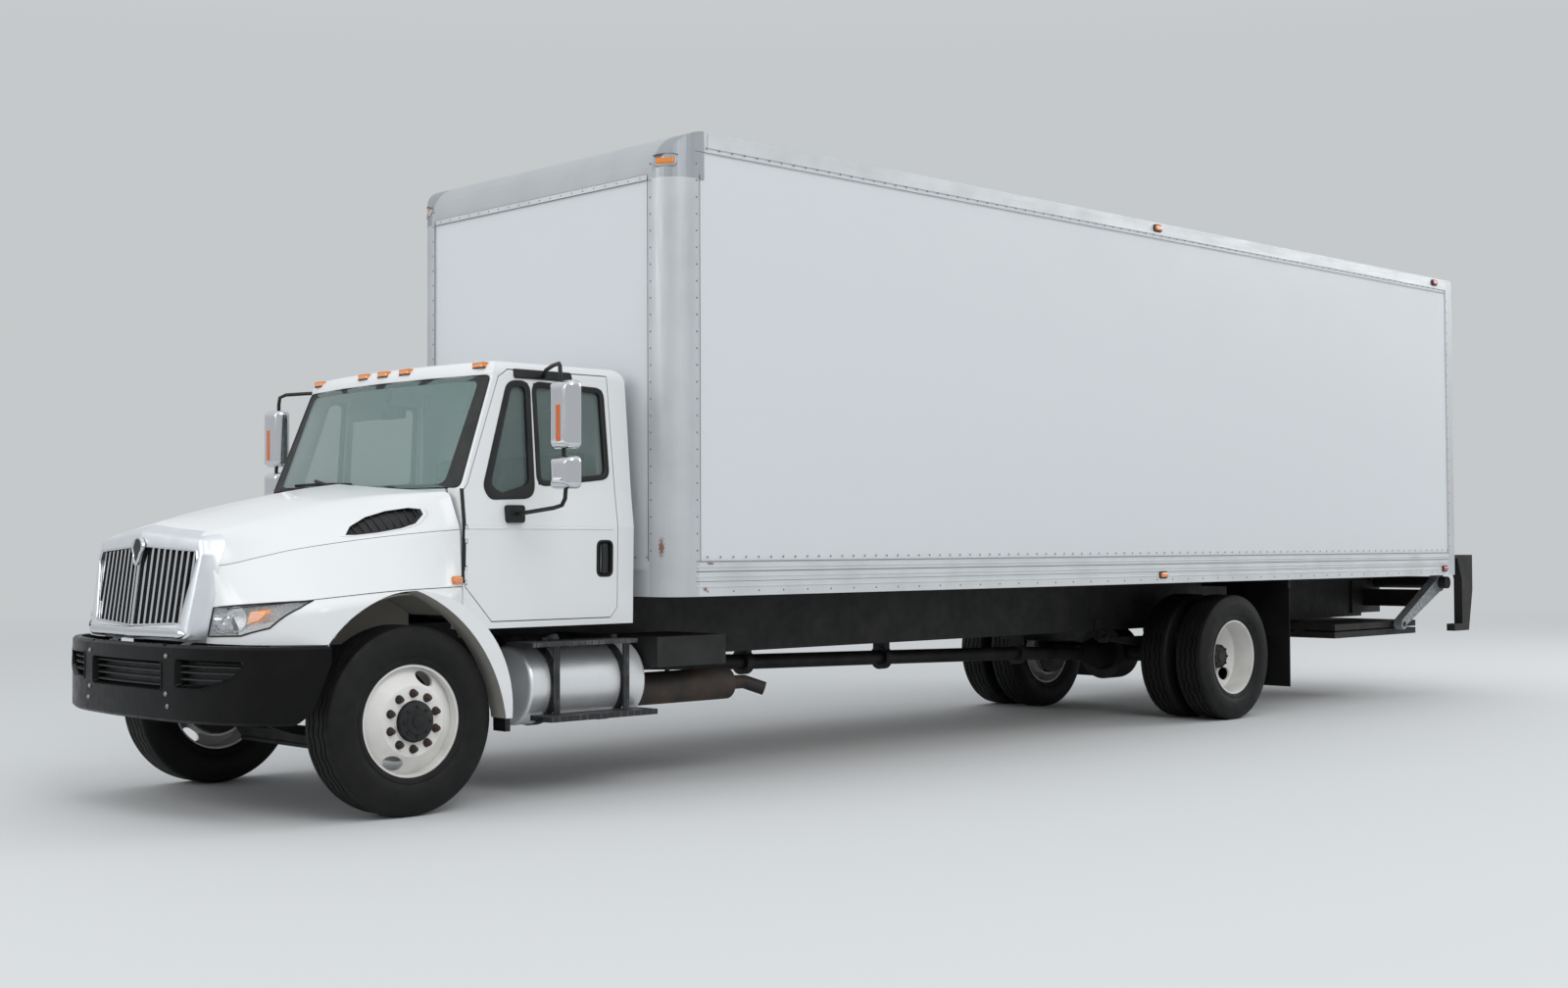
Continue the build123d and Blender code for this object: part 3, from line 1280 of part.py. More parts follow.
with BuildPart() as liftgate_arms:
    for name, side in SIDES:
        low, high = both_ways(side, arm_low, arm_high)
        side_prism([(pivot_x - 40, pivot_z - 60), (pivot_x, pivot_z + 70), (tip_x + 30, tip_z + 42),
                    (tip_x + 30, tip_z - 42)], low, high)
        for x, z, radius in ((pivot_x, pivot_z, tube_radius + 28), (tip_x, tip_z, 48)):
            rod((x, low, z), (x, high, z), radius)
        for x, z, radius in ((pivot_x, pivot_z, tube_radius), (tip_x, tip_z, pin_radius)):
            rod((x, low - 10, z), (x, high + 10, z), radius + running_gap, mode=Mode.SUBTRACT)
save(liftgate_arms, "liftgate_arms")
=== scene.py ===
import logging
from dataclasses import dataclass
from enum import Enum
from math import atan2, copysign, cos, hypot, pi, radians, sin, sqrt, tan
from typing import Sequence

import bmesh
import bpy
from mathutils import Matrix, Vector


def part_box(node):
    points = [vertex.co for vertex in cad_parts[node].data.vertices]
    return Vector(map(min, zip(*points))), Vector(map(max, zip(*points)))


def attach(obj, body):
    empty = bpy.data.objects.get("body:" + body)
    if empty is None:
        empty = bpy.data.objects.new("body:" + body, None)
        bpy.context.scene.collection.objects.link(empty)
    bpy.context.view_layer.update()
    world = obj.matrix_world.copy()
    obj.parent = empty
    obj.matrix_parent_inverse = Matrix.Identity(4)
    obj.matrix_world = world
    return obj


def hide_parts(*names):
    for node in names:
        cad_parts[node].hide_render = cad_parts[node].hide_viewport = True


logging.basicConfig(level=logging.INFO, format="%(message)s")
LOG = logging.getLogger("truck")

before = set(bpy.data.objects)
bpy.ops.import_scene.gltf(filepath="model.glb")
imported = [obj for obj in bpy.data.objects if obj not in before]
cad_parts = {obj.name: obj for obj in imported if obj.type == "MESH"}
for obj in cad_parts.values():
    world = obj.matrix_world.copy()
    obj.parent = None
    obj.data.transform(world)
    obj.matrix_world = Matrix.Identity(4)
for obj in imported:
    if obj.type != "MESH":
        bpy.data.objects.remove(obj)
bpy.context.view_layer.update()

Point = tuple[float, float, float]
Flat = tuple[float, float]
Flats = tuple[Flat, ...]
Solid = bpy.types.Object
Finish = bpy.types.Material
SIDES = (("left", 1.0), ("right", -1.0))


class Grain(Enum):
    """Direction along which a rolled or brushed surface is streaked."""

    ALONG = (0.04, 1.0, 1.0)
    ACROSS = (1.0, 0.04, 1.0)
    UP = (1.0, 1.0, 0.04)
    TURNED = (1.0, 0.01, 0.01)


@dataclass(frozen=True)
class Layout:
    """Main places of the truck in metres; front_x and rear_x are its axles."""

    front_x: float = 5.28
    rear_x: float = -2.31
    axle_z: float = 0.492
    body_front: float = 3.65
    body_rear: float = -5.855
    body_half: float = 1.2975


AT = Layout()


def linear(code: str) -> tuple[float, float, float, float]:
    """Turn an sRGB code, a hash and six hex digits, into a linear colour with full opacity."""
    channels = [int(code[i:i + 2], 16) / 255 for i in (1, 3, 5)]
    return (*(c / 12.92 if c <= 0.04045 else ((c + 0.055) / 1.055) ** 2.4 for c in channels), 1.0)


class Graph:
    """Node tree of a material or of the world, with its main shader."""

    def __init__(self, name: str, world: bool = False) -> None:
        """Make a bare material or world.

        Args:
            name: its name.
            world: whether it is the world.
        """
        self.owner = (bpy.data.worlds if world else bpy.data.materials).new(name)
        self.owner.use_nodes = True
        self.tree = self.owner.node_tree
        self.shader = self.tree.nodes["Background" if world else "Principled BSDF"]
        self.spot = self.add("TexCoord", (), "Generated" if world else "Object")

    def feed(self, node: bpy.types.Node, key: str | int, value: object) -> None:
        """Set or link one input.

        Args:
            node: the node.
            key: name or number of the input.
            value: a number, vector or colour code, or the output that is linked to it.
        """
        if isinstance(value, bpy.types.NodeSocket):
            self.tree.links.new(value, node.inputs[key])
        else:
            node.inputs[key].default_value = linear(value) if isinstance(value, str) else value

    def add(self, kind: str, inputs: dict | tuple, output: str | int = 0,
            **settings: object) -> bpy.types.NodeSocket:
        """Add one node; a pattern without a place of its own is laid out in object metres.

        Args:
            kind: type of the node, without its "ShaderNode".
            inputs: values or outputs, in order or by name or number.
            output: name or number of the output that is wanted.
            **settings: properties of the node.

        Returns:
            The output.
        """
        node = self.tree.nodes.new("ShaderNode" + kind)
        for key, value in settings.items():
            setattr(node, key, value)
        given = dict(inputs if isinstance(inputs, dict) else enumerate(inputs))
        if kind.startswith("Tex") and "Vector" in node.inputs:
            given.setdefault("Vector", self.spot)
        for key, value in given.items():
            self.feed(node, key, value)
        return node.outputs[output]

    def set(self, **inputs: object) -> None:
        """Set or link inputs of the main shader, underscores standing for spaces."""
        for key, value in inputs.items():
            self.feed(self.shader, key.replace("_", " "), value)


@dataclass(frozen=True)
class Paint:
    """Sprayed enamel: an even colour under a clear coat, with road grime low down."""

    name: str
    colour: str
    roughness: float = 0.38
    coat: float = 0.5
    grime: str = "#8A857B"
    grime_top: float = 0.9
    grime_share: float = 0.35

    def build(self) -> Finish:
        """Make the material.

        Returns:
            The material.
        """
        graph = Graph(self.name)
        height = graph.add("SeparateXYZ", (graph.spot,), "Z")
        low = graph.add("MapRange", (height, self.grime_top, 0.35, 0.0, self.grime_share))
        blotches = graph.add("TexNoise", {"Scale": 1000 / 160, "Detail": 5})
        patchy = graph.add("MapRange", (blotches, 0.35, 0.7, 0.1, 1.0))
        share = graph.add("Math", (low, patchy), operation="MULTIPLY")
        clouds = graph.add("TexNoise", {"Scale": 1000 / 420, "Detail": 4})
        # Orange peel of sprayed paint, 5 mm across
        peel = graph.add("TexNoise", {"Scale": 1000 / 5, "Detail": 1})
        graph.set(Base_Color=graph.add("Mix", {0: share, 6: self.colour, 7: self.grime}, 2,
            data_type="RGBA"), Coat_Weight=self.coat, Coat_Roughness=0.12,
            Roughness=graph.add("MapRange", (clouds, 0.3, 0.7, self.roughness - 0.05,
            self.roughness + 0.08)), Normal=graph.add("Bump", {"Distance": 0.012 / 1000,
            "Height": peel}))
        return graph.owner


@dataclass(frozen=True)
class RolledMetal:
    """Bare metal from the mill: drawn streaks in its gloss, dull weather marks, rust spots."""

    name: str
    colour: str
    grain: Grain
    roughness: float
    weather_share: float = 0.4
    bump_mm: float = 0.012
    metallic: float = 0.92
    rust_spots: tuple[tuple[Point, Point], ...] = ()

    def build(self) -> Finish:
        """Make the material.

        Returns:
            The material.
        """
        graph = Graph(self.name)
        drawn = graph.add("Mapping", {"Vector": graph.spot, "Scale": self.grain.value})
        streaks = graph.add("TexNoise", {"Vector": drawn, "Scale": 1000 / 14, "Detail": 4})
        stains = graph.add("TexNoise", {"Scale": 1000 / 330, "Detail": 5})
        marks = graph.add("MapRange", (stains, 0.42, 0.7, 0.0, self.weather_share))
        colour = graph.add("Mix", {0: marks, 6: self.colour, 7: "#9A9C9E"}, 2, data_type="RGBA")
        for spot, size in self.rust_spots:
            frayed = graph.add("TexNoise", {"Scale": 1000 / 9, "Detail": 4})
            away = graph.add("VectorMath", (graph.spot, spot), operation="SUBTRACT")
            scaled = graph.add("VectorMath", (away, size), operation="DIVIDE")
            far = graph.add("VectorMath", (scaled,), "Value", operation="LENGTH")
            ragged = graph.add("MapRange", (frayed, 0.3, 0.7, -0.5, 0.5))
            edge = graph.add("Math", (far, ragged), operation="ADD")
            cover = graph.add("MapRange", (edge, 0.55, 1.05, 0.85, 0.0))
            colour = graph.add("Mix", {0: cover, 6: colour, 7: "#7A4A2C"}, 2, data_type="RGBA")
        graph.set(Base_Color=colour, Metallic=self.metallic, Roughness=graph.add("MapRange",
            (streaks, 0.3, 0.7, self.roughness - 0.08, self.roughness + 0.12)),
            Normal=graph.add("Bump", {"Distance": self.bump_mm / 1000, "Height": streaks}))
        return graph.owner


@dataclass(frozen=True)
class Coating:
    """Black coating, moulded plastic or rubber: fine grain and a film of dust."""

    name: str
    colour: str
    roughness: float
    grain_mm: float
    depth_mm: float
    dust: str = "#6E6860"
    dust_share: float = 0.18
    specular: float = 0.4

    def build(self) -> Finish:
        """Make the material.

        Returns:
            The material.
        """
        graph = Graph(self.name)
        film = graph.add("TexNoise", {"Scale": 1000 / 190, "Detail": 5})
        share = graph.add("MapRange", (film, 0.4, 0.75, 0.0, self.dust_share))
        handled = graph.add("TexNoise", {"Scale": 1000 / 60, "Detail": 3})
        grain = graph.add("TexNoise", {"Scale": 1000 / self.grain_mm, "Detail": 2})
        graph.set(Base_Color=graph.add("Mix", {0: share, 6: self.colour, 7: self.dust}, 2,
            data_type="RGBA"), Roughness=graph.add("MapRange", (handled, 0.3, 0.7,
            self.roughness - 0.06, self.roughness + 0.08)), Specular_IOR_Level=self.specular,
            Normal=graph.add("Bump", {"Distance": self.depth_mm / 1000, "Height": grain}))
        return graph.owner


@dataclass(frozen=True)
class ClearGlass:
    """Sheet glass or a clear moulding, tinted through its thickness."""

    name: str
    colour: str
    opacity: float

    def build(self) -> Finish:
        """Make the material.

        Returns:
            The material.
        """
        graph = Graph(self.name)
        film = graph.add("TexNoise", {"Scale": 1000 / 500, "Detail": 4})
        graph.set(Base_Color=self.colour, IOR=1.5, Alpha=self.opacity,
            Roughness=graph.add("MapRange", (film, 0.4, 0.8, 0.02, 0.05)), Coat_Weight=1.0,
            Coat_Roughness=0.0)
        return graph.owner


@dataclass(frozen=True)
class Plated:
    """Chromium plate: a mirror with the faintest haze."""

    name: str
    colour: str = "#D5D7DA"
    roughness: float = 0.07

    def build(self) -> Finish:
        """Make the material.

        Returns:
            The material.
        """
        graph = Graph(self.name)
        haze = graph.add("TexNoise", {"Scale": 1000 / 90, "Detail": 4})
        graph.set(Base_Color=self.colour, Metallic=1.0, Roughness=graph.add("MapRange",
            (haze, 0.35, 0.75, self.roughness, self.roughness + 0.09)))
        return graph.owner


@dataclass(frozen=True)
class LensPlastic:
    """Coloured lamp lens: glossy outside, with moulded optics that catch the light."""

    name: str
    colour: str
    optic_mm: float = 6.0

    def build(self) -> Finish:
        """Make the material.

        Returns:
            The material.
        """
        graph = Graph(self.name)
        optics = graph.add("TexVoronoi", {"Scale": 1000 / self.optic_mm})
        graph.set(Base_Color=self.colour, Roughness=0.16, Coat_Weight=0.8, Coat_Roughness=0.04,
            Transmission_Weight=0.15, Emission_Color=self.colour, Emission_Strength=0.12,
            Normal=graph.add("Bump", {"Distance": 0.6 / 1000, "Height": optics}))
        return graph.owner


@dataclass(frozen=True)
class Spangle:
    """Hot-dip zinc: pale crystal flakes, 16 mm across, on dull grey steel."""

    name: str
    pale: str = "#A9ADB0"
    dark: str = "#84888B"

    def build(self) -> Finish:
        """Make the material.

        Returns:
            The material.
        """
        graph = Graph(self.name)
        flakes = graph.add("TexVoronoi", {"Scale": 1000 / 16}, "Color")
        tone = graph.add("SeparateColor", {"Color": flakes})
        skin = graph.add("TexNoise", {"Scale": 1000 / 3, "Detail": 3})
        graph.set(Base_Color=graph.add("Mix", {0: tone, 6: self.pale, 7: self.dark}, 2,
            data_type="RGBA"), Metallic=0.75, Roughness=graph.add("MapRange",
            (tone, 0.0, 1.0, 0.42, 0.62)), Normal=graph.add("Bump",
            {"Distance": 0.05 / 1000, "Height": skin}))
        return graph.owner


@dataclass(frozen=True)
class TreadPlate:
    """Raised-pattern steel plate: short crossed bars, worn paler on their tops."""

    name: str
    colour: str = "#1A1B1C"
    pitch_mm: float = 34.0

    def build(self) -> Finish:
        """Make the material.

        Returns:
            The material.
        """
        graph = Graph(self.name)
        bars = []
        for turn, shift in ((0.785, 0.0), (-0.785, 0.5)):
            laid = graph.add("Mapping", {"Vector": graph.spot, "Rotation": (0.0, 0.0, turn),
                "Scale": (1000 / self.pitch_mm, 2600 / self.pitch_mm, 0.001),
                "Location": (shift, shift, 0.0)})
            cells = graph.add("TexVoronoi", {"Vector": laid, "Scale": 1.0, "Randomness": 0.0})
            bars.append(graph.add("MapRange", (cells, 0.22, 0.38, 1.0, 0.0)))
        both = graph.add("Math", tuple(bars), operation="MAXIMUM")
        scuffs = graph.add("TexNoise", {"Scale": 1000 / 90, "Detail": 4})
        wear = graph.add("MapRange", (scuffs, 0.35, 0.7, 0.0, 0.5))
        worn = graph.add("Math", (both, wear), operation="MULTIPLY")
        graph.set(Base_Color=graph.add("Mix", {0: worn, 6: self.colour, 7: "#77757A"}, 2,
            data_type="RGBA"), Roughness=graph.add("MapRange", (worn, 0.0, 0.5, 0.55, 0.35)),
            Normal=graph.add("Bump", {"Distance": 1.2 / 1000, "Height": both}))
        return graph.owner


@dataclass(frozen=True)
class Weave:
    """Woven cloth: crossing threads, a soft sheen, and slight wear."""

    name: str
    colour: str
    thread_mm: float = 1.4

    def build(self) -> Finish:
        """Make the material.

        Returns:
            The material.
        """
        graph = Graph(self.name)
        warp, weft = (graph.add("TexWave", {"Scale": 1000 / self.thread_mm / 6.28}, "Fac",
            bands_direction=way) for way in "XZ")
        cross = graph.add("Math", (warp, weft), operation="MULTIPLY")
        rubbed = graph.add("TexNoise", {"Scale": 1000 / 140, "Detail": 4})
        wear = graph.add("MapRange", (rubbed, 0.4, 0.8, 0.0, 0.3))
        graph.set(Base_Color=graph.add("Mix", {0: wear, 6: self.colour, 7: "#6B6C70"}, 2,
            data_type="RGBA"), Roughness=0.88, Sheen_Weight=0.3, Sheen_Roughness=0.5,
            Normal=graph.add("Bump", {"Distance": 0.25 / 1000, "Height": cross}))
        return graph.owner


@dataclass(frozen=True)
class Planks:
    """Laminated hardwood floor: narrow boards of uneven tone with fine grain."""

    name: str
    board_mm: float = 32.0

    def build(self) -> Finish:
        """Make the material.

        Returns:
            The material.
        """
        graph = Graph(self.name)
        laid, drawn = (graph.add("Mapping", {"Vector": graph.spot, "Scale": scale})
            for scale in ((0.02, 1.0, 0.001), (0.05, 1.0, 1.0)))
        boards = graph.add("TexVoronoi", {"Vector": laid, "Scale": 1000 / self.board_mm}, "Color",
            distance="CHEBYCHEV")
        tone = graph.add("SeparateColor", {"Color": boards})
        grain = graph.add("TexNoise", {"Vector": drawn, "Scale": 1000 / 4, "Detail": 4})
        mixed = graph.add("Mix", {0: tone, 6: "#8C6B45", 7: "#A98458"}, 2, data_type="RGBA")
        dark = graph.add("MapRange", (grain, 0.35, 0.75, 0.0, 0.5))
        graph.set(Base_Color=graph.add("Mix", {0: dark, 6: mixed, 7: "#6A4C2F"}, 2,
            data_type="RGBA"), Roughness=0.62, Normal=graph.add("Bump",
            {"Distance": 0.15 / 1000, "Height": grain}))
        return graph.owner


class Materials:
    """Every finish used on the truck, built once."""

    def __init__(self) -> None:
        """Make all the materials."""
        # White enamel, smooth and bright with a clear reflection
        self.cab_paint = Paint("white_enamel", "#E0E2E3", grime_share=0.2).build()
        # White wheel enamel, duller and dirtier than the cab's
        self.wheel_paint = Paint("wheel_enamel", "#E4E3E0", 0.5, 0.15, "#8C8478", 0.85,
            0.3).build()
        # Pre-painted aluminium sheet of the box: soft, slightly cool white
        self.panel = Paint("prepainted_sheet", "#D0D3D7", 0.55, 0.05, grime_top=1.5,
            grime_share=0.25).build()
        # Extruded aluminium posts streaked upright, with a rust run at the left front foot
        self.posts = RolledMetal("extruded_aluminium_upright", "#C2C5C8", Grain.UP, 0.5, 0.25,
            metallic=0.5, rust_spots=(((3.638, 1.186, 1.378), (0.02, 0.02, 0.055)),
            ((3.65, 1.08, 1.56), (0.01, 0.01, 0.018)))).build()
        # Extruded aluminium rails streaked lengthwise, with two rust spots
        self.rails = RolledMetal("extruded_aluminium_rail", "#D1D4D6", Grain.ALONG, 0.5, 0.25,
            metallic=0.5, rust_spots=(((3.36, 1.2975, 1.285), (0.03, 0.03, 0.01)),
            ((3.4, 1.2975, 1.135), (0.02, 0.03, 0.012)))).build()
        # Rolled nose sheet, streaked across
        self.nose = RolledMetal("rolled_aluminium_nose", "#B3B6B9", Grain.ACROSS, 0.5, 0.25,
            metallic=0.3).build()
        # Dull driven rivets of the box, their grey darker than the sheet round them as painted
        # shade
        self.rivet = RolledMetal("rivet_grey_painted_shade", "#74777A", Grain.UP, 0.5, metallic=0.6).build()
        # White-painted roof sheet, faintly stained by rain
        self.roof = Paint("painted_roof_sheet", "#D3D6D8", 0.55, 0.0, grime_top=5.0,
            grime_share=0.12).build()
        # Polished tank barrel with fine turned lines
        self.tank = RolledMetal("polished_aluminium_barrel", "#E8EAEC", Grain.TURNED, 0.4, 0.06,
            0.001, 0.7).build()
        # Sand-cast corner: dull grey and slightly pitted
        self.casting = RolledMetal("cast_aluminium", "#A9ADB1", Grain.UP, 0.5).build()
        # Chassis black over steel, dusty
        self.chassis = Coating("chassis_black", "#121314", 0.55, 4, 0.12, dust_share=0.1).build()
        # Satin black pressed-steel bumper
        self.bumper = Coating("satin_black_steel", "#0A0A0B", 0.3, 1.2, 0.01, dust_share=0.02,
            specular=0.13).build()
        # Carbon-black rubber with a dusty bloom
        self.tyre = Coating("tyre_rubber", "#0D0D0E", 0.6, 2.2, 0.1, "#403E3B", 0.1, 0.25).build()
        # Hot-dip galvanised steel of the liftgate's arms, speckled grey
        self.zinc = Spangle("galvanised_steel").build()
        # Hardwood load floor, warm brown boards
        self.wood = Planks("laminated_hardwood").build()
        # Green-tinted cab glass, half see-through
        self.glass = ClearGlass("tinted_glass", "#84A09C", 0.4).build()
        # Clear polycarbonate headlamp lens, nearly invisible but for its gloss
        self.lens = ClearGlass("clear_polycarbonate", "#DDE1E4", 0.12).build()
        # Bright plate of mirrors and grille bars
        self.chrome = Plated("chromium_plate").build()
        # Satin silver grille surround, pale with a blurred reflection
        self.surround = Plated("satin_silver", "#E3E6EA", 0.38).build()
        # Black moulded plastic inside and out
        self.moulding = Coating("moulded_plastic", "#232427", 0.55, 1.5, 0.06,
            dust_share=0.05).build()
        # Dark grey seat cloth; its threads are drawn coarse enough to show
        self.cloth = Weave("woven_seat_cloth", "#3B3D42").build()
        # Amber lens of clearance lamps
        self.amber = LensPlastic("amber_lens", "#D97C12").build()
        # Deeper orange lens of the mirrors' signals
        self.signal = LensPlastic("orange_lens", "#C25A10", 4.0).build()
        # Bright metallised tray behind the headlamp lens
        self.tray = RolledMetal("metallised_tray", "#E6E8EA", Grain.ACROSS, 0.25, 0.05,
            metallic=0.55).build()
        # Darker side glass, through which the seats show
        self.side_glass = ClearGlass("dark_side_glass", "#6C807C", 0.38).build()
        # Red lens of rear lamps
        self.red = LensPlastic("red_lens", "#A31212").build()
        # Wheel-arch liner caked in dry road dirt; its grey is also made paler as painted light,
        # standing in for light that the shaded wells don't get
        self.liner = Coating("dusty_liner_painted_light", "#A09D97", 0.85, 12, 1.0, "#A39D93", 0.6, 0.2).build()
        # Scaled brown-black exhaust steel
        self.exhaust = Coating("scaled_exhaust_steel", "#2A2624", 0.62, 8, 0.2, "#5B4436",
            0.5).build()
        # Rusty wheel nuts and studs
        self.rust = Coating("rusty_steel", "#2E2A27", 0.7, 3, 0.25, "#5E4433", 0.55).build()
        # Black rubber glazing strip
        self.gasket = Coating("black_rubber_strip", "#121314", 0.5, 2, 0.03,
            dust_share=0.05).build()
        # Grey vinyl lining inside the cab
        self.lining = Coating("grey_vinyl_lining", "#6F7173", 0.7, 2.5, 0.1,
            dust_share=0.05).build()
        # Chassis black worn to dull brown on the liftgate
        self.weathered = Coating("weathered_liftgate_black", "#141414", 0.6, 5, 0.15, "#4E4740",
            0.22).build()
        # Black tread plate of the steps, bars worn grey
        self.plate = TreadPlate("black_tread_plate").build()


def shade(obj: Solid, smooth_angle: float) -> None:
    """Smooth a mesh, keeping edges sharper than an angle.

    Args:
        obj: mesh object.
        smooth_angle: largest angle in degrees that is smoothed over.
    """
    work = bmesh.new()
    work.from_mesh(obj.data)
    for face in work.faces:
        face.smooth = True
    for edge in work.edges:
        if len(edge.link_faces) == 2:
            edge.smooth = edge.calc_face_angle() < radians(smooth_angle)
    work.to_mesh(obj.data)
    work.free()


def settle(obj: Solid) -> None:
    """Turn an object's modifiers into its mesh.

    Args:
        obj: the object.
    """
    graph = bpy.context.evaluated_depsgraph_get()
    mesh = bpy.data.meshes.new_from_object(obj.evaluated_get(graph))
    obj.modifiers.clear()
    obj.data = mesh


def put(name: str, data: bpy.types.ID) -> Solid:
    """Put mesh, curve, lamp or camera data in the scene.

    Args:
        name: name of the object.
        data: what it holds.

    Returns:
        The new object.
    """
    obj = bpy.data.objects.new(name, data)
    bpy.context.scene.collection.objects.link(obj)
    return obj


def place(obj: Solid, material: Finish, body: str) -> Solid:
    """Finish an object, put it on a body and report it.

    Args:
        obj: mesh or strip.
        material: its finish.
        body: its body.

    Returns:
        The same object.
    """
    obj.data.materials.clear()
    obj.data.materials.append(material)
    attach(obj, body)
    # A name that is taken already ends in a number
    LOG.info("piece %s of %s on %s", obj.name, material.name, body)
    return obj


def tube(name: str, points: Sequence[Point], radius: float, material: Finish,
        body: str = "chassis", closed: bool = False) -> Solid:
    """Make a round strip or bar along points.

    Args:
        name: name of the piece.
        points: points of its centre line.
        radius: half its thickness.
        material: its finish.
        body: its body.
        closed: whether its end joins its start.

    Returns:
        The new object.
    """
    curve = bpy.data.curves.new(name, "CURVE")
    curve.dimensions = "3D"
    curve.bevel_depth = radius
    curve.bevel_resolution = 2
    curve.use_fill_caps = not closed
    spline = curve.splines.new("POLY")
    spline.points.add(len(points) - 1)
    for target, point in zip(spline.points, points):
        target.co = (*point, 1.0)
    spline.use_cyclic_u = closed
    return place(put(name, curve), material, body)


def circle(count: int, radius: float = 1.0, start: float = 0.0) -> list[Flat]:
    """Give the points of a circle from a starting angle on."""
    return [(radius * cos(2 * pi * k / count + start), radius * sin(2 * pi * k / count + start))
        for k in range(count)]


def rect(left: float, low: float, right: float, high: float) -> Flats:
    """Give the corners of a rectangle."""
    return ((left, low), (right, low), (right, high), (left, high))


def about(x: float, y: float, half_x: float, half_y: float) -> Flats:
    """Give the corners of a rectangle round a middle."""
    return rect(x - half_x, y - half_y, x + half_x, y + half_y)


def between(a: Sequence[float], b: Sequence[float], t: float) -> tuple[float, ...]:
    """Give the point at a share of the way from one point to another."""
    return tuple(p + (q - p) * t for p, q in zip(a, b))


def dense(loop: Sequence[Flat], count: int) -> list[Flat]:
    """Spread points evenly along each side of a closed loop."""
    return [between(a, b, k / count) for a, b in zip(loop, [*loop[1:], loop[0]])
        for k in range(count)]


def rounded(points: Sequence[Flat], radius: float, grow: float = 0.0,
        count: int = 6) -> list[Flat]:
    """Round the corners of an outline after moving its sides outwards.

    Args:
        points: corners of a convex outline.
        radius: radius of its corners before it is grown.
        grow: how far its sides move outwards.
        count: steps round each corner.

    Returns:
        Points all round, the same number for every size.
    """
    middle = Vector([sum(axis) / len(points) for axis in zip(*points)])
    lines = []
    for a, b in zip(points, [*points[1:], points[0]]):
        a, b = Vector(a), Vector(b)
        way = (b - a).normalized()
        out = Vector((way.y, -way.x))
        if out.dot((a + b) / 2 - middle) < 0:
            out = -out
        lines.append((a + out * grow, way))
    corners = []
    for (p, d), (q, e) in zip([lines[-1]] + lines[:-1], lines):
        cross = d.x * e.y - d.y * e.x
        corners.append(p + d * (((q.x - p.x) * e.y - (q.y - p.y) * e.x) / cross))
    size = max(radius + grow, 0.002)
    found = []
    for k, here in enumerate(corners):
        before, after = corners[k - 1], corners[(k + 1) % len(corners)]
        u, v = (before - here).normalized(), (after - here).normalized()
        reach = min(size / tan(u.angle(v) / 2), 0.45 * (before - here).length,
            0.45 * (after - here).length)
        found += bend(here + u * reach, here, here + v * reach, count)
    return found


def bend(start: Vector, corner: Vector, end: Vector, count: int) -> list[Flat]:
    """Give points of the curve that rounds a corner.

    Args:
        start: where it leaves the one side.
        corner: the sharp corner.
        end: where it meets the other side.
        count: number of steps.

    Returns:
        The points, both ends with them.
    """
    spots = [start * (1 - t) ** 2 + corner * 2 * t * (1 - t) + end * t * t
        for t in (k / count for k in range(count + 1))]
    return [(spot.x, spot.y) for spot in spots]


def arc_points(start: Flat, middle: Flat, end: Flat, count: int) -> list[Flat]:
    """Sample the circle through three points, from the first to the last.

    Args:
        start: first point.
        middle: point on the way.
        end: last point.
        count: number of steps.

    Returns:
        The points, both ends with them.
    """
    (x1, y1), (x2, y2), (x3, y3) = start, middle, end
    d = 2 * (x1 * (y2 - y3) + x2 * (y3 - y1) + x3 * (y1 - y2))
    s1, s2, s3 = x1 * x1 + y1 * y1, x2 * x2 + y2 * y2, x3 * x3 + y3 * y3
    cx = (s1 * (y2 - y3) + s2 * (y3 - y1) + s3 * (y1 - y2)) / d
    cy = (s1 * (x3 - x2) + s2 * (x1 - x3) + s3 * (x2 - x1)) / d
    first, mid, last = (atan2(y - cy, x - cx) for x, y in (start, middle, end))
    turn = (last - first) % (2 * pi)
    if (mid - first) % (2 * pi) > turn:
        turn -= 2 * pi
    radius = hypot(x1 - cx, y1 - cy)
    return [(cx + radius * cos(first + turn * k / count), cy + radius
        * sin(first + turn * k / count)) for k in range(count + 1)]


def eased(table: Sequence[Flat], x: float) -> float:
    """Read a table of (x, value) rows through a smooth curve that doesn't overshoot.

    Args:
        table: rows in rising order of x.
        x: place to read.

    Returns:
        The value there.
    """
    slopes = [(b[1] - a[1]) / (b[0] - a[0]) for a, b in zip(table, table[1:])]
    bends = [slopes[0], *(0.0 if p * q <= 0 else 2 * p * q / (p + q)
        for p, q in zip(slopes, slopes[1:])), slopes[-1]]
    k = next((k for k, row in enumerate(table[1:-1]) if x <= row[0]), len(table) - 2)
    a, b = table[k:k + 2]
    span = b[0] - a[0]
    t = (x - a[0]) / span
    return (a[1] * (1 + 2 * t) * (1 - t) ** 2 + bends[k] * span * t * (1 - t) ** 2 + b[1] * t * t
        * (3 - 2 * t) + bends[k + 1] * span * t * t * (t - 1))


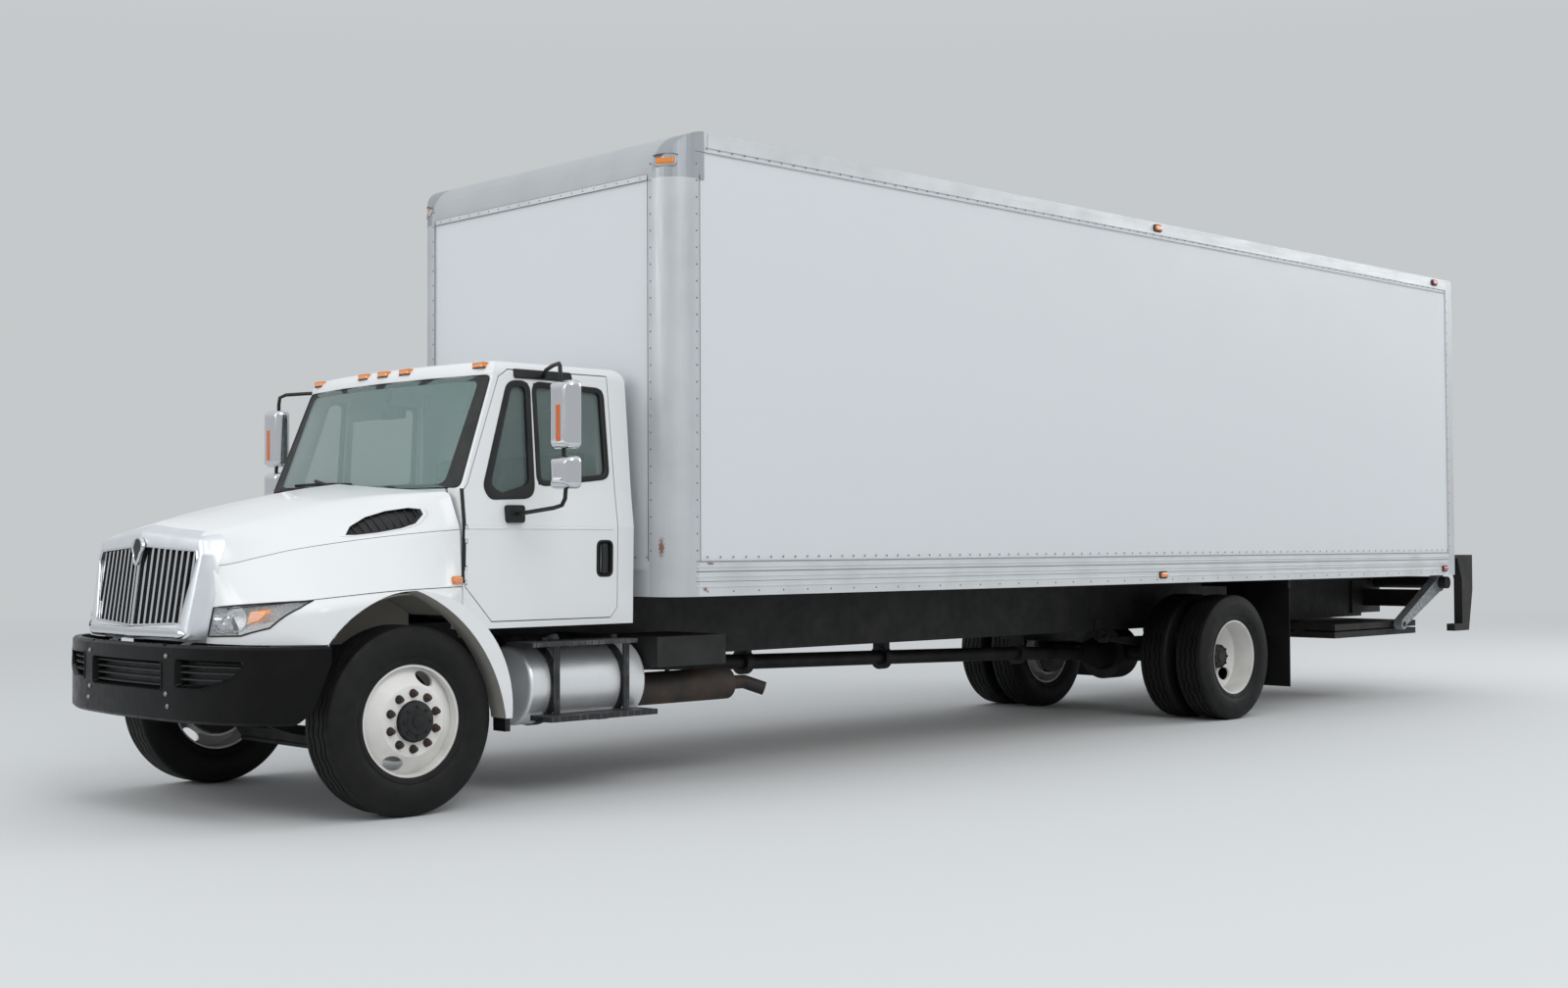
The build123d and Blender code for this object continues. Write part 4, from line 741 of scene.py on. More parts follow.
class Shape:
    """Gathers simple shapes into one mesh."""

    def __init__(self) -> None:
        """Start empty."""
        self.verts: list[Point] = []
        self.faces: list[tuple[int, ...]] = []

    def grid(self, rows: Sequence[Sequence[Point]], close_rows: bool = False,
            close_columns: bool = True) -> None:
        """Add a sheet of quads.

        Args:
            rows: rows of points, all of one length.
            close_rows: whether the last row joins the first.
            close_columns: whether each row's end joins its start.
        """
        base = len(self.verts)
        count, width = len(rows), len(rows[0])
        for row in rows:
            self.verts.extend(tuple(p) for p in row)
        for i in range(count if close_rows else count - 1):
            for j in range(width if close_columns else width - 1):
                a, b = base + i * width, base + (i + 1) % count * width
                k = (j + 1) % width
                self.faces.append((a + j, b + j, b + k, a + k))

    def cap(self, ring: Sequence[Point]) -> None:
        """Add one flat face.

        Args:
            ring: its corners.
        """
        base = len(self.verts)
        self.verts.extend(tuple(p) for p in ring)
        self.faces.append(tuple(range(base, base + len(ring))))

    def pad(self, rows: Sequence[Sequence[Point]]) -> None:
        """Add a raised form through closed rows, with a face over the last."""
        self.grid(rows)
        self.cap(rows[-1])

    def stack(self, rings: Sequence[Sequence[Point]]) -> None:
        """Add a closed body through rings of points, capped at both ends.

        Args:
            rings: rings of points, all of one length.
        """
        base, width = len(self.verts), len(rings[0])
        self.grid(rings)
        self.faces.append(tuple(range(base + width - 1, base - 1, -1)))
        last = base + (len(rings) - 1) * width
        self.faces.append(tuple(range(last, last + width)))

    def lathe(self, centre: Point, side: float, profile: Sequence[Flat], count: int) -> None:
        """Turn a profile of (distance outwards, radius) pairs about a line along y."""
        self.grid([[(centre[0] + r * c, centre[1] + side * out, centre[2] + r * s)
            for out, r in profile] for c, s in circle(count)], True, False)

    def make(self, name: str, material: Finish, smooth_angle: float,
            body: str = "chassis") -> Solid:
        """Turn what was gathered into a piece.

        Args:
            name: name of the piece.
            material: its finish.
            smooth_angle: largest angle smoothed over.
            body: its body.

        Returns:
            The new object.
        """
        mesh = bpy.data.meshes.new(name)
        mesh.from_pydata(self.verts, [], self.faces)
        obj = put(name, mesh)
        shade(obj, smooth_angle)
        return place(obj, material, body)


def raw(name: str, verts: Sequence[Point], faces: Sequence[Sequence[int]]) -> Solid:
    """Make a bare, welded mesh object to be cut or joined.

    Args:
        name: name of the object.
        verts: corner points.
        faces: corner numbers of each face.

    Returns:
        The object, in the scene.
    """
    mesh = bpy.data.meshes.new(name)
    mesh.from_pydata(verts, [], faces)
    work = bmesh.new()
    work.from_mesh(mesh)
    bmesh.ops.remove_doubles(work, verts=work.verts, dist=1e-6)
    bmesh.ops.recalc_face_normals(work, faces=work.faces)
    work.to_mesh(mesh)
    work.free()
    return put(name, mesh)


def prism(name: str, outline: Sequence[Flat], axis: int, low: float, high: float) -> Solid:
    """Make a straight prism of an outline.

    Args:
        name: name of the object.
        outline: points in the plane of the other two axes, in their order.
        axis: direction in which the outline is drawn out: 0, 1 or 2 for x, y or z.
        low: one end.
        high: other end.

    Returns:
        The bare object.
    """
    count = len(outline)
    verts = [(*p[:axis], level, *p[axis:]) for level in (low, high) for p in outline]
    faces = [tuple(range(count)), tuple(range(2 * count - 1, count - 1, -1))]
    faces += [(i, (i + 1) % count, count + (i + 1) % count, count + i) for i in range(count)]
    return raw(name, verts, faces)


def carve(target: Solid, tools: Sequence[Solid], operation: str = "DIFFERENCE") -> None:
    """Cut tools out of a bare object, or join them to it, and delete the tools.

    Args:
        target: object that is changed.
        tools: objects that do it.
        operation: DIFFERENCE or UNION.
    """
    for tool in tools:
        change = target.modifiers.new(tool.name, "BOOLEAN")
        change.operation = operation
        change.solver = "EXACT"
        change.object = tool
    settle(target)
    for tool in tools:
        bpy.data.objects.remove(tool)


@dataclass(frozen=True)
class Tyre:
    """A truck tyre with zigzag grooves and ringed side walls."""

    radius: float = 0.4917
    half_width: float = 0.137
    rim_radius: float = 0.2905
    grooves: Flat = (0.026, 0.066)
    groove_half: float = 0.0055
    groove_depth: float = 0.014
    zigzag: float = 0.005
    steps: int = 112

    def half_profile(self, zig: float) -> list[Flat]:
        """Give the outline from the middle of the tread to the bead.

        Args:
            zig: sideways shift of the grooves at this step.

        Returns:
            (distance from the tyre's middle plane, radius) pairs.
        """
        r = self.radius
        points = [(0.0, r)]
        for groove in self.grooves:
            low, high = groove - self.groove_half + zig, groove + self.groove_half + zig
            points += [(low, r), (low + 0.001, r - self.groove_depth),
                (high - 0.001, r - self.groove_depth), (high, r)]
        return points + [(0.098, r - 0.001), (0.108, r - 0.004), (0.117, r - 0.014),
            (0.1225, r - 0.028), (0.1235, r - 0.034), (0.1275, r - 0.046),
            (self.half_width - 0.003, r - 0.07), (self.half_width, r - 0.096),
            (self.half_width - 0.0015, r - 0.106), (self.half_width - 0.001, r - 0.12),
            (0.129, r - 0.15), (0.119, r - 0.168), (0.121, r - 0.172), (0.1185, r - 0.182),
            (0.1135, self.rim_radius + 0.004), (0.1105, self.rim_radius),
            (0.1055, self.rim_radius + 0.002)]

    def mesh(self, builder: Shape, centre: Point, side: float) -> None:
        """Add one tyre.

        Args:
            builder: mesh to add to.
            centre: its middle.
            side: 1 for left, -1 for right.
        """
        rows = []
        for step, (c, s) in enumerate(circle(self.steps)):
            zig = self.zigzag if step % 4 < 2 else -self.zigzag
            other = [(-out, r) for out, r in reversed(self.half_profile(-zig)[1:])]
            rows.append([(centre[0] + r * c, centre[1] + side * out, centre[2] + r * s)
                for out, r in other + self.half_profile(zig)])
        builder.grid(rows, True, False)


@dataclass(frozen=True)
class WheelNuts:
    """Ten hexagonal nuts on their studs round a hub."""

    pitch_radius: float = 0.143
    nut_radius: float = 0.0175
    nut_height: float = 0.024
    stud_radius: float = 0.0105
    stud_height: float = 0.036
    count: int = 10

    def mesh(self, builder: Shape, centre: Point, side: float) -> None:
        """Add the nuts.

        Args:
            builder: mesh to add to.
            centre: point on the axle at the face that the nuts sit on.
            side: 1 for left, -1 for right.
        """
        top, end = self.nut_height, self.stud_height
        for index in range(self.count):
            turn = 2 * pi * (index + 0.5) / self.count
            x = centre[0] + self.pitch_radius * cos(turn)
            z = centre[2] + self.pitch_radius * sin(turn)
            for sides, table in ((12, ((0.0, 0.024), (0.005, 0.0225))),
                    (6, ((0.004, self.nut_radius), (top, self.nut_radius),
                    (top + 0.002, self.nut_radius * 0.85))), (10,
                    ((top, self.stud_radius), (end, self.stud_radius),
                    (end + 0.002, self.stud_radius * 0.8)))):
                builder.stack([[(x + a, centre[1] + side * out, z + b)
                    for a, b in circle(sides, radius, turn)] for out, radius in table])


@dataclass(frozen=True)
class Wheels:
    """Tyres, nuts and hub covers of all the wheels."""

    made: Materials
    front_y: float = 1.016
    rear_outer_y: float = 1.092
    rear_inner_y: float = 0.762
    front_face: float = 0.122
    bolt_circle: float = 0.078
    tyre: Tyre = Tyre()
    nuts: WheelNuts = WheelNuts()

    def dress(self) -> None:
        """Add the pieces of every wheel."""
        for name, side in SIDES:
            centre = (AT.front_x, side * self.front_y, AT.axle_z)
            body = f"wheel_front_{name}"
            self._tyres(f"tyre_front_{name}", body, [centre], side)
            face, far = self.front_face, self.front_face + 0.0455
            self._hub(f"front_{name}", body, centre, side, face, far - 0.012,
                ((face + 0.0008, 0.112), (face + 0.008, 0.11), (face + 0.03, 0.105),
                (face + 0.036, 0.1), (far, 0.067), (far + 0.004, 0.064), (far + 0.005, 0.034),
                (far + 0.01, 0.032), (far + 0.013, 0.02), (far + 0.013, 0.0001)))
            rear = [(AT.rear_x, side * y, AT.axle_z) for y in (self.rear_outer_y,
                self.rear_inner_y)]
            body = f"wheels_rear_{name}"
            self._tyres(f"tyres_rear_{name}", body, rear, side)
            middle = (AT.rear_x, side * (self.rear_outer_y + self.rear_inner_y) / 2, AT.axle_z)
            far = 0.1515
            self._hub(f"rear_{name}", body, middle, side, 0.012, far - 0.002,
                ((0.021, 0.115), (0.024, 0.1025), (0.13, 0.0945), (0.1415, 0.0935), (far, 0.0855),
                (far + 0.003, 0.05), (far + 0.012, 0.047), (far + 0.014, 0.0001)))

    def _tyres(self, node: str, body: str, centres: Sequence[Point], side: float) -> None:
        """Replace the plain tyres of one body.

        Args:
            node: CAD node of the tyres.
            body: body that carries them.
            centres: middle of each tyre.
            side: 1 for left, -1 for right.
        """
        builder = Shape()
        for centre in centres:
            self.tyre.mesh(builder, centre, side)
        made = builder.make(f"treaded_{node}", self.made.tyre, 28, body)
        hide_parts(node)

    def _hub(self, name: str, body: str, centre: Point, side: float, face: float, foot: float,
            profile: Sequence[Flat]) -> None:
        """Add the nuts and the black hub cover with its bolts to one wheel.

        Args:
            name: end of the pieces' names.
            body: body that carries them.
            centre: middle of the wheel.
            side: 1 for left, -1 for right.
            face: distance from the middle to the face that the nuts sit on.
            foot: distance from the middle to the foot of the cover's bolts.
            profile: (distance outwards, radius) pairs of the cover.
        """
        nuts, cover = Shape(), Shape()
        self.nuts.mesh(nuts, (centre[0], centre[1] + side * face, centre[2]), side)
        nuts.make(f"wheel_nuts_{name}", self.made.rust, 20, body)
        cover.lathe(centre, side, profile, 48)
        for dx, dz in circle(8, self.bolt_circle):
            cover.stack([[(centre[0] + dx + a, centre[1] + side * out, centre[2] + dz + b)
                for a, b in circle(6, r)] for out, r in ((foot, 0.009), (foot + 0.014, 0.009),
                (foot + 0.016, 0.007))])
        cover.make(f"hub_cover_{name}", self.made.chassis, 30, body)


@dataclass(frozen=True)
class Hood:
    """Smooth one-piece hood with its fenders, flares, openings and seams.

    Each row is a station: its distance ahead of the front axle, the height of its middle, and
    the (y, z) of shoulder, crease, seam and edge.
    """

    made: Materials
    rows: tuple[tuple, ...] = ((-0.375, 1.762, (0.96, 1.686), (1.022, 1.48), (1.034, 1.175),
        (1.036, 1.15)), (-0.2, 1.74, (0.835, 1.672), (1.003, 1.468), (1.12, 1.172), (1.165, 1.14)),
        (0.0, 1.712, (0.69, 1.647), (0.965, 1.45), (1.15, 1.168), (1.18, 1.13)),
        (0.5, 1.612, (0.585, 1.53), (0.82, 1.378), (1.095, 1.13), (1.166, 1.09)),
        (0.65, 1.576, (0.58, 1.497), (0.73, 1.338), (1.01, 1.112), (1.072, 1.07)),
        (0.8, 1.532, (0.585, 1.458), (0.65, 1.3), (0.83, 1.09), (0.888, 1.03)),
        (0.85, 1.508, (0.578, 1.44), (0.625, 1.295), (0.675, 1.078), (0.682, 1.005)),)
    low: float = 0.905
    wall: float = 0.028
    rounding: tuple[float, ...] = (0.42, 0.1, 0.3, 0.42)
    vent: Flats = ((0.236, 1.449), (0.184, 1.494), (0.077, 1.545), (-0.041, 1.579),
        (-0.149, 1.597), (-0.203, 1.59), (-0.204, 1.561), (-0.143, 1.511), (-0.058, 1.485),
        (0.072, 1.462), (0.187, 1.449))
    lamp: Flats = ((0.584, 0.94), (0.64, 1.086), (1.085, 1.122), (1.08, 1.088), (0.99, 0.99),
        (0.85, 0.95))
    opening: Flats = ((0, 0.985), (0.471, 1.005), (0.552, 1.33), (0.535, 1.372), (0, 1.4))
    arch_front: Flat = (0.54, 0.86)
    arch_top: Flat = (0.0, 1.162)
    lug: Flats = ((0.824, 0.906), (0.824, 0.96), (0.849, 0.96), (0.849, 0.922), (0.97, 0.865),
        (0.985, 0.845), (0.97, 0.826), (0.85, 0.9))

    def corners(self, x: float) -> list[Flat]:
        """Give the corner points of half a section.

        Args:
            x: distance ahead of the front axle.

        Returns:
            (y, z) of the middle, shoulder, crease, seam, edge and foot.
        """
        found = [(0.0, eased([row[:2] for row in self.rows], x))]
        for column in range(2, 6):
            found.append(tuple(eased([(row[0], row[column][k]) for row in self.rows], x)
                for k in (0, 1)))
        return found + [(found[-1][0], self.low)]

    def half(self, x: float, inset: float = 0.0) -> list[Flat]:
        """Give half a section with its corners rounded.

        Args:
            x: distance ahead of the front axle.
            inset: how far inside the skin.

        Returns:
            (y, z) points from the middle down to the foot.
        """
        corner = self.corners(x)
        if inset:
            (_, top), (y1, z1), *others, (y5, _) = corner
            corner = [(0.0, top - inset), (y1 - inset / 2, z1 - inset),
                *((y - inset, z - inset / 2) for y, z in others), (y5 - inset, self.low - 0.05)]
        points = [corner[0]]
        for k, share in enumerate(self.rounding, 1):
            if k == 1 and x < 0.0:
                share += 0.7 * x
            before, here, after = (Vector(p) for p in corner[k - 1:k + 2])
            reach = share * min((here - before).length, (after - here).length)
            points += bend(here + (before - here).normalized() * reach, here,
                here + (after - here).normalized() * reach, 6)
        return points + [corner[-1]]

    def on_side(self, x: float, z: float, upper: int) -> float:
        """Find how far out the skin is on the flat below one of its corners."""
        a, b = self.corners(max(x, self.rows[0][0]))[upper:upper + 2]
        return a[0] + (b[0] - a[0]) * ((z - a[1]) / (b[1] - a[1]))

    def shell(self, name: str, inset: float, start: float, end: float) -> Solid:
        """Make the closed solid inside the skin.

        Args:
            name: name of the object.
            inset: how far inside the skin.
            start: rear end, from the front axle.
            end: front end.

        Returns:
            The bare object.
        """
        builder = Shape()
        rings = []
        for x in (start + (end - start) * k / 60 for k in range(61)):
            half = self.half(min(max(x, self.rows[0][0]), self.rows[-1][0]), inset)
            rings.append([(AT.front_x + x, y, z) for y, z in reversed(half)]
                + [(AT.front_x + x, -y, z) for y, z in half[1:]])
        builder.stack(rings)
        return raw(name, builder.verts, builder.faces)

    def opening_outline(self, rear: Flat, foot: Flat) -> list[Flat]:
        """Give the wheel opening seen from the side.

        Args:
            rear: point on its rear arc.
            foot: foot of that arc.

        Returns:
            (x, z) points.
        """
        points = arc_points(self.arch_front, (0.33, 1.067), self.arch_top, 14)
        points += arc_points(self.arch_top, rear, foot, 22)[1:]
        points += [(foot[0], -0.1), (self.arch_front[0], -0.1)]
        return [(AT.front_x + x, z) for x, z in points]

    def skin(self) -> Solid:
        """Build the hood itself.

        Returns:
            The bare object.
        """
        fx = AT.front_x
        body = self.shell("smooth_hood", 0.0, -0.375, 0.85)
        carve(body, [self.shell("hood_inside", self.wall, -0.42, 0.822)])
        flare = self.opening_outline((-0.477, 0.907), (-0.597, 0.471))
        carve(body, [prism(f"flare_{name}", flare, 1, *sorted((side * 1.045, side * 1.18)))
            for name, side in SIDES], "UNION")
        plan = [(fx + x, y) for x, y in arc_points((-0.375, -1.045), (-0.25, 0.0), (-0.375, 1.045),
            30)]
        plan += [(fx - 0.595, 1.045), (fx - 0.595, -1.045)]
        mouth = list(self.opening) + [(-y, z) for y, z in reversed(self.opening[1:-1])]
        tools = [prism("behind", plan, 2, 0.845, 1.845), prism("below",
            rect(fx - 0.7, -0.3, fx + 0.54, 0.471), 1, -1.3, 1.3),
            prism("arches", self.opening_outline((-0.358, 0.912), (-0.556, 0.471)), 1, -1.3, 1.3),
            prism("mouth", mouth, 0, fx + 0.69, fx + 1.0)]
        for name, side in SIDES:
            tools.append(prism(f"lamp_{name}", [(side * y, z) for y, z in self.lamp], 0, fx + 0.48,
                fx + 1.1))
            tools.append(prism(f"vent_{name}", [(fx + x, z) for x, z in self.vent], 1,
                *sorted((side * 0.7, side * 1.1))))
        carve(body, tools)
        return body

    def dress(self) -> None:
        """Add the hood, its hinge lugs, seams, vents and small fittings."""
        hood = self.skin()
        shade(hood, 32)
        place(hood, self.made.cab_paint, "hood")
        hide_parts("hood")
        self._line_arches(hood)
        self._fittings()
        self._walls()
        self._seams()
        for name, side in SIDES:
            self._vent(name, side)

    def _line_arches(self, hood: Solid) -> None:
        """Give the faces of the wheel arches the liner's finish: dry dirt, and a grey made paler
        as painted light.

        Args:
            hood: the finished hood.
        """
        fx = AT.front_x
        hood.data.materials.append(self.made.liner)
        wheel = Vector((fx - 0.05, 0.0, 0.62))
        for face in hood.data.polygons:
            towards = wheel - face.center
            towards.y = 0.0
            below = face.normal.z < -0.3 or face.center.x < fx
            if abs(face.normal.y) < 0.5 and 0.4 < towards.length < 0.62 and below \
                    and face.normal.dot(towards.normalized()) > 0.7:
                face.material_index = 1

    def _fittings(self) -> None:
        """Add the splash flaps, the fender markers and the hinge lugs."""
        fx = AT.front_x
        flaps, lugs = Shape(), Shape()
        flap = ((-0.594, 0.4), (-0.562, 0.4), (-0.56, 0.474), (-0.592, 0.474))
        box = rect(-0.37, 1.193, -0.285, 1.228)
        for name, side in SIDES:
            for builder, ring, ends in ((flaps, flap, (1.055, 1.165)),
                    (lugs, self.lug, (0.398, 0.412))):
                builder.stack([[(fx + x, side * y, z) for x, z in ring] for y in ends])
            lamp = Shape()
            lamp.pad([[(fx + x, side * (self.on_side(x, z, 2) + out), z)
                for x, z in rounded(box, 0.012, grow)] for out, grow in ((-0.004, 0.004),
                (0.008, 0.004), (0.014, 0.0), (0.019, -0.007))])
            lamp.make(f"fender_marker_{name}", self.made.amber, 50, "hood")
        flaps.make("arch_splash_flaps", self.made.gasket, 20, "hood")
        lugs.make("hood_hinge_lugs", self.made.cab_paint, 20, "hood")

    def _walls(self) -> None:
        """Close the wheel wells towards the engine."""
        walls = Shape()
        arc = [(0.6 * cos(radians(a)), 0.6 * sin(radians(a))) for a in range(36, 127, 3)]
        for name, side in SIDES:
            for grow, near, far in ((1.0, 0.548, 0.556), (0.93, 0.556, 0.561)):
                outline = [(x * grow, 0.54 + z * grow) for x, z in arc]
                outline += [(outline[-1][0], 0.87), (outline[0][0], 0.87)]
                walls.stack([[(AT.front_x + x, side * y, z) for x, z in outline]
                    for y in (near, far)])
        # The liner's grey is made paler as painted light against the shade of the wells
        walls.make("wheel_well_walls", self.made.liner, 30, "hood")

    def _seams(self) -> None:
        """Lay the dark gaps between the hood's top and its fenders."""
        for name, side in SIDES:
            for label, index, radius in (("fender", 18, 0.0022), ("shoulder", 11, 0.0013)):
                points = []
                for x in (-0.37 + 1.2 * k / 47 for k in range(48)):
                    y, z = self.half(x)[index]
                    points.append((AT.front_x + x, side * (y + 0.0003), z))
                tube(f"{label}_seam_{name}", points, radius, self.made.gasket, "hood")

    def _vent(self, name: str, side: float) -> None:
        """Fill a side vent with a dark tray and bars inside a painted lip.

        Args:
            name: left or right.
            side: 1 for left, -1 for right.
        """
        middle = tuple(sum(axis) / len(self.vent) for axis in zip(*self.vent))

        def spot(point: Flat, depth: float, share: float) -> Point:
            """Give an outline point, moved inwards and to a share of its size."""
            x, z = between(middle, point, share)
            return (AT.front_x + x, side * (self.on_side(x, z, 1) - depth), z)

        tray, lip, bars = Shape(), Shape(), Shape()
        tray.pad([[spot(p, depth, share) for p in self.vent] for depth, share in ((0.0, 0.99),
            (0.003, 0.93), (0.026, 0.9))])
        tray.make(f"vent_tray_{name}", self.made.gasket, 30, "hood")
        lip.grid([[spot(p, depth, share) for p in self.vent] for depth, share in ((0.012, 0.975),
            (-0.003, 0.985), (-0.006, 1.03), (-0.004, 1.09), (0.004, 1.14))])
        lip.make(f"vent_lip_{name}", self.made.cab_paint, 60, "hood")
        for x in (-0.17 + 0.042 * k for k in range(9)):
            crossed = [a[1] + (b[1] - a[1]) * (x - a[0]) / (b[0] - a[0])
                for a, b in zip(self.vent, self.vent[1:] + self.vent[:1]) if (a[0] - x)
                * (b[0] - x) < 0]
            if len(crossed) < 2 or max(crossed) - min(crossed) < 0.025:
                continue
            ends = [spot((x, z), 0.014, 1.0) for z in (min(crossed) + 0.006, max(crossed) - 0.006)]
            bars.stack([[(e[0] + dx, e[1] + dy * side, e[2]) for dx, dy in rect(-0.003, 0.0, 0.003,
                0.008)] for e in ends])
        bars.make(f"vent_bars_{name}", self.made.moulding, 20, "hood")


@dataclass(frozen=True)
class Cab:
    """Glazing strips, wipers, handles, mirrors and lamps of the cab.

    Each level is a height, the half width there, and the x of its corners and of its middle.
    """

    made: Materials
    levels: tuple[tuple[float, ...], ...] = ((0.945, 1.02, -0.388, -0.378),
        (1.5, 1.03, -0.385, -0.34), (1.7, 1.005, -0.395, -0.29), (2.33, 0.949, -0.636, -0.531))
    vent_window: Flats = ((-0.558, 1.712), (-0.652, 1.656), (-0.862, 1.714), (-0.87, 2.296),
        (-0.742, 2.29))
    vent_frame: Flats = ((-0.541, 1.712), (-0.575, 1.652), (-0.866, 1.662), (-0.872, 2.298),
        (-0.735, 2.294))
    main_window: Flats = ((-0.904, 1.728), (-1.401, 1.78), (-1.393, 2.284), (-0.904, 2.297))
    heads: Flats = ((1.9, 2.265), (1.689, 1.866))
    head_y: Flat = (1.405, 1.595)

    def level(self, z: float) -> tuple[float, ...]:
        """Give the cab's half width and front at a height.

        Args:
            z: height.

        Returns:
            Half width, x of the front corners and x of its middle.
        """
        for low, high in zip(self.levels, self.levels[1:]):
            if z <= high[0] or high is self.levels[-1]:
                return between(low[1:], high[1:], (z - low[0]) / (high[0] - low[0]))
        return self.levels[-1][1:]

    def front(self, y: float, z: float, lift: float = 0.0) -> Point:
        """Give a point on or over the windshield's surface.

        Args:
            y: place across.
            z: height.
            lift: distance outwards.

        Returns:
            The point.
        """
        half, corner, middle = self.level(z)
        share = y / half
        x = middle - (middle - corner) * share * share
        way = Vector((0.92, 0.19 * share, 0.36)).normalized() * lift
        return (AT.front_x + x + way.x, y + way.y, z + way.z)

    def flank(self, x: float, z: float, side: float, lift: float = 0.0) -> Point:
        """Give a point on or over the cab's side."""
        return (AT.front_x + x, side * (self.level(z)[0] + lift), z)

    def dress(self) -> None:
        """Add every piece of the cab."""
        self._windshield()
        self._wipers()
        self._doors()
        self._gap_shade_strips()
        self._mirrors()
        self._roof_lamps()
        self._inside()

    def _windshield(self) -> None:
        """Add the rubber strip and dark border round the windshield."""
        outer = ((0.99, 1.704), (0.936, 2.33), (-0.936, 2.33), (-0.99, 1.704))
        inner = ((0.862, 1.728), (0.86, 2.3), (-0.86, 2.3), (-0.862, 1.728))
        loops = rounded(inner, 0.05, 0.0, 8), rounded(outer, 0.04, 0.0, 8)
        strip = Shape()
        strip.grid([[self.front(y, z, lift) for y, z in dense([between(a, b, share)
            for a, b in zip(*loops)], 4)] for share, lift in ((0.0, 0.0008), (0.06, 0.0016),
            (0.82, 0.002), (0.85, 0.006), (0.92, 0.0075), (0.97, 0.006), (1.0, -0.002))])
        strip.make("windshield_strip", self.made.gasket, 40)

    def _wipers(self) -> None:
        """Add the two wipers resting at the foot of the windshield."""
        for name, foot, mid, ends in (("left", (0.0, 1.706), (-0.34, 1.764),
                ((-0.63, 1.748), (0.06, 1.738))), ("right", (-0.6, 1.704), (-0.8, 1.738),
                ((-0.95, 1.726), (-0.4, 1.724)))):
            tube(f"wiper_arm_{name}", [self.front(*foot, 0.006), self.front(*between(foot, mid,
                0.5), 0.026), self.front(*mid, 0.024)], 0.01, self.made.gasket)
            blade = Shape()
            rings = []
            for t in (k / 16 for k in range(17)):
                y, z = between(*ends, t)
                rise = 0.008 + 0.012 * sin(pi * t)
                rings.append([self.front(y, z + up, lift) for up, lift in ((0.0, 0.001),
                    (0.004, 0.01), (0.01, rise), (0.003, rise + 0.013), (-0.007, rise),
                    (-0.003, 0.01))])
            blade.stack(rings)
            blade.make(f"wiper_blade_{name}", self.made.gasket, 40)

    def _doors(self) -> None:
        """Add the window strips, belt line and handle of both doors."""
        for name, side in SIDES:
            body = f"door_{name}"
            for label, outline, frame_line, radius in (("vent", self.vent_window, self.vent_frame,
                    0.075), ("main", self.main_window, self.main_window, 0.055)):
                strip = Shape()
                rows = []
                for share, grow, lift in ((0.0, -0.02, -0.021), (0.0, -0.02, 0.001),
                        (0.3, -0.014, 0.004), (0.8, 0.002, 0.006), (1.0, 0.01, 0.004),
                        (1.0, 0.012, -0.001)):
                    mixed = [between(a, b, share) for a, b in zip(outline, frame_line)]
                    rows.append([self.flank(x, z, side, lift) for x, z in rounded(mixed, radius,
                        grow, 8)])
                strip.grid(rows)
                strip.make(f"{label}_window_strip_{name}", self.made.gasket, 40, body)
            tube(f"belt_line_{name}", [self.flank(-0.412 - 0.05 * k, 1.486, side, -0.001)
                for k in range(21)], 0.006, self.made.cab_paint, body)
            self._handle(name, side, body)

    def _gap_shade_strips(self) -> None:
        """Add a black strip on the cab's side behind the hood's rear edge on each side: painted
        shade of the gap between hood and cab.
        """
        for name, side in SIDES:
            strip = Shape()
            strip.stack([[self.flank(x, 1.195 + (1.7 - 1.195) * k / 12, side, lift)
                for x, lift in ((-0.383, -0.006), (-0.383, 0.003), (-0.388, 0.005),
                (-0.397, 0.005), (-0.402, 0.003), (-0.402, -0.006))] for k in range(13)])
            # Black over the cab's white skin: painted shade of the hood gap
            strip.make(f"hood_gap_shade_strip_{name}", self.made.gasket, 40)

    def _handle(self, name: str, side: float, body: str) -> None:
        """Add the black handle in its recess.

        Args:
            name: left or right.
            side: 1 for left, -1 for right.
            body: its body.
        """
        low, high = 1.318 - 0.094, 1.318 + 0.094
        pocket, grab = Shape(), Shape()
        pocket.pad([[self.flank(x, z, side, lift) for x, z in rounded(rect(-1.404, low, -1.306,
            high), 0.03, grow)] for grow, lift in ((0.012, -0.001), (0.01, 0.003), (0.0, 0.0035),
            (-0.003, 0.0), (-0.007, -0.0225))])
        pocket.make(f"handle_pocket_{name}", self.made.gasket, 40, body)
        rings = []
        for t in (k / 12 for k in range(13)):
            z = low + 0.01 + (high - low - 0.02) * t
            out = 0.005 + 0.004 * sin(pi * t)
            squared = ([copysign(abs(value) ** 0.5, value) for value in spot]
                for spot in circle(16, 1.0, pi / 16))
            rings.append([self.flank(-1.355 + 0.02 * c, z, side, out - 0.009 + 0.009 * s)
                for c, s in squared])
        grab.stack(rings)
        grab.make(f"door_grab_{name}", self.made.moulding, 50, body)

